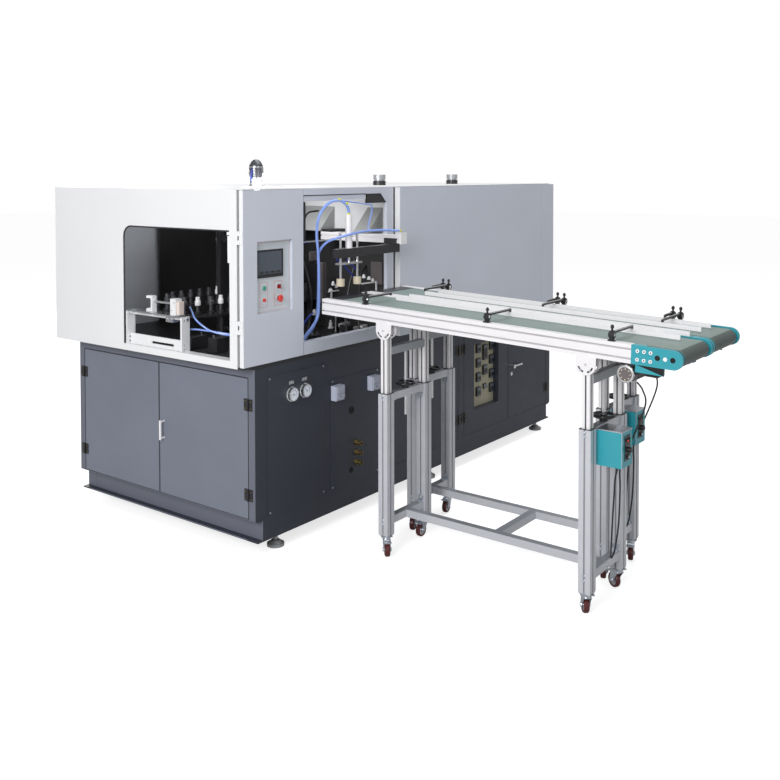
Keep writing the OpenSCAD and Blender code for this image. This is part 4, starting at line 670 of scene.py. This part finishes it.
def cabinet_details():
    """Screws, socket lids, port rims, hinge screws, key lock, foot nuts and controller faces."""
    bm = bmesh.new()
    for x, z in ((106, 935), (535, 935), (106, 220), (535, 220),
                 (614, 832), (1030, 832), (614, 220), (1030, 220)):
        bolt(bm, (x, -3, z), OUT, 5, 2.5)
    keep("service_panel_screws", bm, "zinc", "machine", True)

    bm = bmesh.new()
    for sx, sz in ((640, 768), (974, 767)):
        add_box(bm, (sx - 33.3, -47.3, sz - 3), (sx + 33.3, -46.8, sz - 1.5), 0, 1)
        add_box(bm, (sx - 26, -48.6, sz + 4), (sx + 26, -46.9, sz + 28), 1.2, 0)
        add_box(bm, (sx - 9, -49.4, sz - 24), (sx + 9, -46.9, sz - 14), 1.0, 1)
        for dx in (-29, 29):
            bolt(bm, (sx + dx, -46.9, sz - 33), OUT, 3, 1.2, 1)
    keep("socket_lids", bm, ["grey_box", "plastic"], "machine")

    bm = bmesh.new()
    # ports closed by dark discs: painted shade in the holes
    for x, z, hole, rim, segs in ((784, 635, 16.8, 21, 36), (779, 281, 12.8, 16, 32)):
        add_lathe(bm, [(0, 0), (hole, 0), (hole, 2.2), (rim, 2.6), (rim, 0.2)],
                  facing((x, PORT_PLATE_Y, z), OUT), segs, 0)
    for z in (436, 378, 320):
        add_lathe(bm, [(0, 0), (8.9, 0)], facing((826, -27.0, z), OUT), 24, 0)
    keep("port_rims", bm, "hole", "machine", True)

    def hinge_screws(name, body, spots, axis):
        bm = bmesh.new()
        for p in spots:
            bolt(bm, p, axis, 4.2, 1.6)
        keep(name, bm, "brass", body, True)

    rows = [z + d for z in HINGE_Z for d in (-20, 20)]
    front = {"middle_door": (1933.5, -1), "controller_door": (2004.5, 1), "right_door": (3196.5, -1)}
    for body, (x, side) in front.items():
        hinge_screws(body + "_hinge_screws", body, [(x + side * 21, -4, z) for z in rows], OUT)
    hinge_screws("front_frame_hinge_screws", "machine",
                 [(x - side * 21, -4, z) for x, side in front.values() for z in rows], OUT)
    ends = {"end_door_right": (48.5, 1), "end_door_left": (1473.5, -1)}
    for body, (y, side) in ends.items():
        hinge_screws(body + "_hinge_screws", body, [(-4, y + side * 21, z) for z in rows], (-1, 0, 0))
    hinge_screws("end_frame_hinge_screws", "machine",
                 [(-4, y - side * 21, z) for y, side in ends.values() for z in rows], (-1, 0, 0))

    bm = bmesh.new()
    add_lathe(bm, [(0, 3), (11, 3), (14, 1.5), (14, -0.3)], facing((2659, 0.0, 530), OUT), 28, 0)
    add_box(bm, (2657.8, -3.3, 524), (2660.2, -2.9, 536), 0, 1)
    keep("key_lock", bm, ["chrome", "plastic"], "right_door", True)

    bm = bmesh.new()
    for x in (212, 1662, 3136):
        for y in (62, 1458):
            add_lathe(bm, [(12.3, 0), (21, 0), (22, 1), (22, 13), (21, 14), (12.3, 14)],
                      facing((x, y, 64), UP), 6, 0)
    keep("foot_nuts", bm, "zinc", "machine")

    # controllers: dark faces with pale displays
    bm = bmesh.new()
    rows = [(2138 + dx, 362 + 105 + i * 103, 54, 64) for i in range(4) for dx in (116, 332 - 36)]
    rows += [(2138 + 205, 822 - 85, 54, 110), (2138 + 205, 822 - 212, 54, 70)]
    for x, z, w, h in rows:
        add_box(bm, (x - w / 2 + 4, 30.2, z + h / 2 - 26), (x + w / 2 - 4, 31.0, z + h / 2 - 6), 0.3, 0)
        add_box(bm, (x - w / 2 + 4, 30.2, z - h / 2 + 5), (x + w / 2 - 4, 31.0, z - h / 2 + 12), 0.3, 1)
    add_box(bm, (2138 + 188, 30.0, 822 - 345), (2138 + 222, 31.0, 822 - 316), 0.5, 2)
    keep("controller_faces", bm, ["screen", "plastic", "white"], "controller_door")


plinth_corners()
door_edges()
hood_trim()
operator_details()
gauge_faces()
cabinet_details()

# Details of the blow unit
HOSE_MAIN = ((420, 60, 1020.5), (420, 60, 1060), (440, 50, 1110), (498, 42, 1162), (540, 38, 1225),
             (539, 30, 1364), (524, 20, 1553), (488, 0, 1690), (489, -20, 1790), (535, -45, 1855),
             (590, -70, 1873), (635, -87, 1852), (657, -90, 1820), (660, -90, 1792))
HOSE_BRANCH = ((442, 64, 1020.5), (442, 64, 1060), (461, 58, 1106), (516, 54, 1153), (548, 53, 1222),
               (548, 44, 1364), (544, 38, 1500), (536, 34, 1553), (534, 10, 1600), (532, -40, 1640),
               (545, -95, 1662), (590, -124, 1676), (660, -127, 1684), (730, -125, 1690), (816, -118, 1692),
               (940, -130, 1690), (1050, -160, 1682))
AIR_LINE = ((600, -70, 1872), (708, -56, 1862), (848, -52, 1846), (912, -50, 1838), (922, -50, 1802),
            (900, -56, 1765), (860, -70, 1712), (850, -90, 1690))
ROOF_LINES = (((700, 650, 1945), (716, 660, 2000), (712, 668, 2056), (684, 664, 2094), (664, 652, 2104)),
              ((618, 640, 1976), (610, 640, 2010), (622, 642, 2050), (640, 646, 2078)))
AIR_TUBES = (((120, 640, 1262), (60, 550, 1246), (30, 495, 1222), (30, 437, 1189), (60, 385, 1156),
              (120, 299, 1134), (260, 200, 1110)),
             ((10, 512, 1163), (30, 470, 1163), (60, 400, 1156), (120, 299, 1140), (255, 160, 1100)),
             ((620, 400, 1440), (600, 380, 1400), (640, 360, 1360), (700, 380, 1330)),
             ((740, 400, 1460), (760, 370, 1420), (720, 350, 1380), (690, 380, 1340)),
             ((430, 120, 1022), (450, 140, 1080), (470, 200, 1120), (480, 300, 1180)))
DARK_HOSES = (((900, 120, 1022), (930, 160, 1120), (1000, 220, 1180), (1080, 260, 1300), (1150, 280, 1420),
               (1190, 300, 1500)),
              ((980, 80, 1022), (1000, 120, 1140), (1060, 160, 1260), (1120, 200, 1380), (1190, 210, 1440)),
              ((860, 420, 1022), (880, 400, 1140), (860, 380, 1300), (840, 420, 1480)))
DARK_BLUE_TUBES = (((905, 210, 1500), (969, 200, 1455), (1010, 200, 1420), (1055, 200, 1383)),
                   ((1000, 210, 1490), (1040, 200, 1456), (1091, 200, 1412)),
                   ((590, 210, 1130), (614, 200, 1163), (650, 200, 1190), (688, 200, 1204)))
TRIM_TUBE = ((441, 52, 1640), (441, 52, 1745), (452, 50, 1785), (484, 50, 1807), (560, 50, 1812))


def tubes(name, mat, runs, r, steps, segs):
    """A piece of round tubes, each on one smooth curve."""
    bm = bmesh.new()
    for run in runs:
        add_tube(bm, smooth_line(run, steps), r, segs)
    return keep(name, bm, mat, "machine", True)


def hoses():
    """The two blow hoses with their tips, the thin air line, and what stands on the roof cylinder."""
    bm = bmesh.new()
    add_tube(bm, smooth_line(HOSE_MAIN, 8), 8, 16)
    add_tube(bm, smooth_line(HOSE_BRANCH, 8), 7, 16)
    o = keep("blow_hoses", bm, "hose", "machine", True)
    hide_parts("blow_hose")

    bm = bmesh.new()
    for p, d, r in (((660, -90, 1790), UP, 9.5), ((1050, -160, 1682), (1, -0.2, -0.3), 8.5)):
        m = facing(p, d)
        add_lathe(bm, [(0, -4), (r, -4), (r, 9), (r - 1, 11), (0, 11)], m, 6)
    for p in ((596, -72, 1876), (640, -90, 1853)):
        add_lathe(bm, [(0, -7), (9.2, -7), (9.2, 7), (0, 7)], facing(p, (1, -0.35, -0.2)), 18)
    keep("hose_tips", bm, "yellow", "machine")

    tubes("thin_air_tube", "hose", [AIR_LINE], 4, 8, 12)
    tubes("roof_cylinder_hoses", "hose_dark", ROOF_LINES, 5, 8, 12)

    bm = bmesh.new()
    for z in (1962, 2000, 2064):
        add_lathe(bm, [(42, -4), (45, -3), (45, 3), (42, 4)], facing((*CYLINDER, z), UP), 40)
    for dx, dy in ((-38, -22), (38, -22), (38, 22), (-38, 22)):
        rod = (CYLINDER[0] + dx, CYLINDER[1] + dy, 1960)
        add_lathe(bm, [(4, 0), (4, 100), (0, 100)], facing(rod, UP), 12)
    keep("cylinder_bands", bm, "turned", "machine", True)


def blow_room():
    """Air tubes, fittings, bolts and tie rods in the room behind the windows."""
    tubes("air_tubes", "hose", AIR_TUBES, 5, 7, 10)
    tubes("dark_hoses", "cable", DARK_HOSES, 7, 7, 10)

    bm = bmesh.new()
    for x in (536, 784):
        for z in (1072, 1614):
            for y, d in ((459.8, -1), (840.2, 1)):
                m = facing((x, y, z), (0, d, 0))
                add_lathe(bm, [(0, 22), (10, 22), (10, 14), (26, 14), (28, 12), (28, 0)], m, 6)
    for x in (575, 745):
        for z in (1250, 1310, 1380, 1450):
            bolt(bm, (x, 460, z), OUT, 8, 6)
    keep("platen_nuts", bm, "turned", "machine")

    bm = bmesh.new()
    # valve blocks and brackets under the track
    for x, y, w, d, h in ((470, 130, 90, 60, 46), (620, 140, 70, 50, 60), (760, 120, 120, 60, 40),
                          (930, 150, 60, 60, 76), (250, 330, 110, 80, 60), (120, 420, 90, 70, 84),
                          (110, 620, 120, 60, 70), (1040, 330, 90, 90, 120)):
        add_box(bm, (x, y, TABLE_TOP), (x + w, y + d, TABLE_TOP + h), 2, 0)
        for dx in (14, w - 14):
            nut = (x + dx, y + d / 2, TABLE_TOP + h)
            add_lathe(bm, [(0, 16), (6, 16), (6, 0)], facing(nut, UP), 6, 1)
    # plates beside the moulds
    add_box(bm, (500, 430, 1180), (820, 446, 1200), 1.5, 1)
    add_box(bm, (870, 700, TABLE_TOP), (900, 900, 1500), 2, 0)
    add_box(bm, (1110, 560, 1205), (1190, 760, 1440), 3, 0)
    keep("valve_blocks", bm, ["black", "turned"], "machine")

    bm = bmesh.new()
    for x in (200, 300, 1000):
        add_tube(bm, [Vector((x, 300, TABLE_TOP)), Vector((x, 300, 1180))], 8, 12)
    add_tube(bm, [Vector((120, 300, 1172)), Vector((480, 300, 1172))], 6, 12)
    add_tube(bm, [Vector((395, 50, 1640)), Vector((650, 50, 1640))], 5, 12)
    keep("guide_rods", bm, "turned", "machine", True)

    bm = bmesh.new()
    # boards on the back wall and on the partition's lower half, partly dark panels and partly painted shade,
    # the back wall's board in a lighter copy as painted light, and the dark piece at the window's corner
    add_box(bm, (677, 1590, 1025), (1188, 1598, 1900), 1, 1)
    add_box(bm, (1190, 30, TABLE_TOP), (1196, 1588, 1645), 1)
    add_box(bm, (948, 5, 1846), (1132, 22, 1902), 1)
    add_tube(bm, smooth_line(TRIM_TUBE, 6), 5, 12)
    add_box(bm, (426, 40, 1660), (440, 44, 1865), 0.5)
    keep("inner_boards", bm, ["board", "back_board_lit"], "machine")

    bm = bmesh.new()
    add_box(bm, (-76, 104, 1560), (-70, 118, 1700), 1, 0)
    add_box(bm, (-77, 101, 1704), (-69, 122, 1726), 1, 1)
    keep("window_side_strip", bm, ["white", "plastic"], "machine")

    bm = bmesh.new()
    # plates and a pillar beside the clamp frame
    add_box(bm, (870, 396, 1485), (930, 404, 1540), 1)
    add_box(bm, (1026, 430, 1205), (1066, 470, 1457), 2)
    add_box(bm, (1180, 74, 1330), (1188, 164, 1470), 1)
    keep("inner_plates", bm, "brown", "machine")

    bm = bmesh.new()
    # fittings and stops
    for x, y, z, r, h in ((976, 300, 1330, 11, 26), (951, 300, 1296, 13, 18), (1006, 300, 1312, 9, 20),
                          (1030, 100, 1384, 10, 22), (1081, 100, 1370, 12, 20), (1120, 100, 1356, 10, 18),
                          (688, 200, 1196, 11, 24), (835, 200, 1100, 10, 40)):
        shape = [(0, 0), (r, 0), (r, h * 0.6), (r * 0.6, h * 0.6), (r * 0.6, h), (0, h)]
        add_lathe(bm, shape, facing((x, y, z), UP), 12, 0)
    # sensor plates and brackets
    for lo, hi in (((930, 296, 1290), (1030, 304, 1298)), ((1010, 96, 1346), (1140, 104, 1354)),
                   ((1035, 290, 1062), (1128, 310, 1084)), ((1040, 190, 1050), (1090, 210, 1068)),
                   ((1130, 190, 1052), (1180, 210, 1070)), ((665, 190, 1190), (710, 210, 1196)),
                   ((820, 190, 1090), (850, 210, 1100)), ((1040, 296, 1022), (1052, 304, 1062)),
                   ((960, 300, 1205), (970, 310, 1290)), ((1150, 96, 1200), (1160, 104, 1354))):
        add_box(bm, lo, hi, 0.8, 1)
    keep("inner_fittings", bm, ["white", "turned"], "machine")

    tubes("dark_blue_tubes", "hose_dark", DARK_BLUE_TUBES, 5, 6, 10)


def bracket_details():
    """Screws of the window's bracket, and the bottle clamp's screws and pad."""
    bm = bmesh.new()
    for y in (490, 962):
        add_lathe(bm, [(0, 4), (9, 4), (10, 3), (10, 0)], facing((-35, y - 6, 1226), OUT), 24)
    keep("bracket_screws", bm, "zinc", "machine", True)
    bm = bmesh.new()
    for y, z in ((580, 1223), (610, 1223), (548, 1314), (570, 1272)):
        bolt(bm, (-67 if z < 1250 else -71, y, z), (-1, 0, 0), 5, 3)
    keep("clamp_screws", bm, "zinc", "bottle_clamp", True)

    bm = bmesh.new()
    add_box(bm, (-66, 512, 1250.2), (-32, 535.6, 1322), 1.5)
    keep("clamp_pad", bm, "pad", "bottle_clamp")


hoses()
blow_room()
bracket_details()

# Details of the conveyors
CABLE = ((575, -1765, 689.4), (575, -1765, 640), (572, -1768, 580), (566, -1765, 430), (572, -1745, 300),
         (596, -1715, 244), (622, -1705, 300), (640, -1708, 500), (648, -1720, 640), (662, -1790, 800),
         (660, -1850, 960), (610, -1858, 1040), (560, -1853, 1084))
RAILS = ((49, 170.5), (-70, 65))
CABLE_SHIFT = ((0, 0), (394, 100))


def cables():
    """The two control cables and their glands."""
    bm = bmesh.new()
    for dx, dy in CABLE_SHIFT:
        add_tube(bm, smooth_line([(x + dx, y + dy, z) for x, y, z in CABLE], 8), 4, 12)
    o = keep("control_cable_runs", bm, "cable", "machine", True)
    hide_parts("control_cables")
    bm = bmesh.new()
    for dx, dy in CABLE_SHIFT:
        gland = (CABLE[0][0] + dx, CABLE[0][1] + dy, 690)
        add_lathe(bm, [(0, 0), (8, 0), (8, -12), (6, -14), (4.2, -14)], facing(gland, UP), 6)
    keep("cable_glands", bm, "plastic", "machine")


def stand_details():
    """Bolts, corner brackets and post caps of the two stands."""
    bm = bmesh.new()
    for i, x in enumerate(CONVEYOR_X):
        for y in LEG_Y[i]:
            for s in (-1, 1):
                lx = x + s * LEG_X
                for z in (170, 190, 832, 850):
                    bolt(bm, (lx + s * 30, y, z), (s, 0, 0), 7, 4)
                # angle brackets in the corners
                for z, d in ((200, 1), (820, -1)):
                    ex = lx - s * 30
                    for w, h in ((4, 34), (34, 4)):
                        add_box(bm, (min(ex, ex - s * w), y - 17, min(z, z + d * h)),
                                (max(ex, ex - s * w), y + 17, max(z, z + d * h)), 1.0)
                    bolt(bm, (ex - s * 4, y, z + d * 22), (-s, 0, 0), 5, 3)
                    bolt(bm, (ex - s * 22, y, z + d * 4), (0, 0, d), 5, 3)
        for y in LEG_Y[i]:
            bolt(bm, (x, y - 20, 180), OUT, 7, 4)
    keep("stand_brackets", bm, "zinc", "machine")

    bm = bmesh.new()
    # dark caps of the outer legs, round the inner ones
    for i, x in enumerate(CONVEYOR_X):
        for y in LEG_Y[i]:
            for s in (-1, 1):
                lx = x + s * LEG_X
                for lo, hi in (((-30, -30), (30, -20.8)), ((-30, 20.8), (30, 30)),
                               ((-30, -20.8), (-20.8, 20.8)), ((20.8, -20.8), (30, 20.8))):
                    add_box(bm, (lx + lo[0], y + lo[1], 860), (lx + hi[0], y + hi[1], 863), 0.5)
    keep("post_caps", bm, "plastic", "machine")


def add_arc_slot_shade(bm, x, y, z):
    """Dark strips, painted shade inside the two arc slots of a saddle cheek."""
    for side in (-1, 1):
        for a in range(16, 70, 6):
            spots = [(r, math.radians(t)) for r, t in ((32.4, a), (39.6, a), (39.6, a + 6), (32.4, a + 6))]
            corners = [(x, y + side * r * math.sin(t), z - r * math.cos(t)) for r, t in spots]
            bm.faces.new([bm.verts.new(c) for c in corners]).material_index = 1


def deck_details(i, body):
    """Screws, infeed plate, motor trim, end plates' sockets and rail clamps of deck i."""
    outer = -1 if i == 0 else 1
    bm = bmesh.new()
    for s in (-1, 1):
        cheek = s * (LEG_X + CHEEK)
        for leg in LEG_Y[i]:
            run = (-67 - leg + 120 * math.sin(TILT)) / math.cos(TILT)
            for d in (-36, 36):
                bolt(bm, (s * LEG_X, -run + d, -89.2), (0, 0, -1), 5, 3)
            # no heads between the decks, where one slides past the other
            if s != outer:
                continue
            bolt(bm, (cheek + s * 3, -run, SADDLE_Z), (s, 0, 0), 4.5, 3)
            # dark strips in the cheek's arc slots: painted shade
            add_arc_slot_shade(bm, cheek + s * 0.3, -run, SADDLE_Z)
            for a in (-40, 40):
                t = math.radians(a)
                screw = (cheek, -run + 36 * math.sin(t), SADDLE_Z - 36 * math.cos(t))
                bolt(bm, screw, (s, 0, 0), 5, 3)
    for s in CLAMP_Y:
        bolt(bm, (outer * 159.5, -s - 11, 6), UP, 2.6, 1.5)
    keep("deck_screws_%d" % (i + 1), bm, ["zinc", "plastic"], body, local=DECK[i])

    bm = bmesh.new()
    # dark plate over the belt at the infeed, and the black end caps of the beams
    add_box(bm, (-132.5, -95, -2.6), (146, -4, -1.4), 0.3)
    for s in (-1, 1):
        add_box(bm, (s * LEG_X - 19.6, 0, -84.6), (s * LEG_X + 19.6, 3, -0.4), 1.2, 1)
    keep("infeed_plate_%d" % (i + 1), bm, ["plastic", "profile"], body, local=DECK[i])

    bm = bmesh.new()
    # motor: grey end ring and ribs
    left = (-1, 0, 0)
    add_lathe(bm, [(36.2, -2), (40, -1), (40, 4), (34, 6), (33, 2)],
              facing((-171, MOTOR_Y, MOTOR_Z), left), 40, 0)
    add_lathe(bm, [(0, 0.4), (32, 0.4), (32, 0)], facing((-176.5, MOTOR_Y, MOTOR_Z), left), 40, 1)
    for t in range(0, 360, 45):
        a = math.radians(t)
        spot = (-176.6, MOTOR_Y + 24 * math.cos(a), MOTOR_Z + 24 * math.sin(a))
        add_lathe(bm, [(0, 2), (3, 2), (3, 0)], facing(spot, left), 10, 2)
    for k in range(9):
        add_lathe(bm, [(42.0, 0), (43.2, 0.5), (43.2, 3.5), (42.0, 4)],
                  facing((-120 + k * 14, MOTOR_Y, MOTOR_Z), (1, 0, 0)), 8, 3)
    keep("motor_trim_%d" % (i + 1), bm, ["alloy", "brown", "beige", "black"], body,
         local=DECK[i])

    bm = bmesh.new()
    # hexagonal sockets of the end plate bolts and the holes, in painted shade
    for s in (-1, 1):
        for b in (30, 60, 90):
            for z in (-24, -62):
                add_lathe(bm, [(0, 0.15), (3.6, 0.15), (3.6, 0)],
                          facing((s * 196.5, -BEAM_L - b, z), (s, 0, 0)), 6)
        for b in (120, 188.5):
            add_lathe(bm, [(0, 0.2), (11.8, 0.2), (11.8, 0)],
                      facing((s * 188.6, -BEAM_L - b, -42.5), (s, 0, 0)), 30)
    keep("end_plate_sockets_%d" % (i + 1), bm, "hole", body, local=DECK[i])

    bm = bmesh.new()
    # knobs' pointed tops and the grey rods of the rail clamps
    for s in CLAMP_Y:
        for x in RAILS[i]:
            if abs(x) > 150:
                continue
            y = -s - (0 if x > 0 else 40)
            add_lathe(bm, [(0, 8), (4, 7), (7.5, 3), (7.5, 0)], facing((outer * LEG_X, y, 66), UP), 16, 0)
            add_lathe(bm, [(0, 2), (6, 2), (7, 0)], facing((outer * LEG_X, y - 13, 28), OUT), 16, 1)
            add_tube(bm, [Vector((outer * 150, y, 41.5)), Vector((x - outer * 6, y, 41.5))], 3.5, 10, 1)
    keep("clamp_knobs_%d" % (i + 1), bm, ["plastic", "turned"], body, True, local=DECK[i])


def box_details():
    """Lid, edge, knob with plain marks, switch, buttons and screws of the speed control boxes."""
    bm = bmesh.new()
    for i, x in enumerate(CONVEYOR_X):
        bx, by = x - 131, LEG_Y[i][1] - 20 - 129
        add_box(bm, (bx - 1, by - 1, 852), (bx + 115, by + 129.5, 856.5), 0.8, 0)
        add_box(bm, (bx - 0.6, by - 0.6, 690.5), (bx + 3, by + 3, 852), 0.6, 1)
        m = facing((bx + 57, by - 16.9, 768), OUT)
        add_lathe(bm, [(0, 6), (9, 6), (12.9, 1.5), (12.9, 0)], m, 24, 2)
        add_box(bm, (bx + 56.2, by - 23.4, 769), (bx + 57.8, by - 22.8, 777), 0, 0)
        for k in range(11):
            a = math.radians(-135 + 27 * k)
            cx, cz = bx + 57 + 19 * math.sin(a), 768 + 19 * math.cos(a)
            turn = Matrix.Rotation(a, 3, "Y")
            add_box(bm, (cx - 0.5, by - 3.3, cz - 2), (cx + 0.5, by - 2.9, cz + 2), 0, 0, turn)
        add_box(bm, (bx + 50, by - 11, 730), (bx + 64, by - 7.8, 742), 1.0, 2)
        for dx, mat in ((42, 3), (72, 4)):
            add_lathe(bm, [(0, 5), (3.5, 4), (5.6, 1), (5.6, 0)],
                      facing((bx + dx, by - 9.9, 813), OUT), 20, mat)
        for dx in (33, 81):
            for z in (725, 828):
                bolt(bm, (bx + dx, by - 3, z), OUT, 2.6, 1.2, 0)
        add_box(bm, (bx + 10, by + 129.4 - 4, 790), (bx + 104, by + 129.4, 800), 0.5, 1)
    keep("control_box_details", bm, ["zinc", "teal", "plastic", "red", "green"], "machine")


cables()
stand_details()
deck_details(0, "deck_near")
deck_details(1, "deck_far")
box_details()
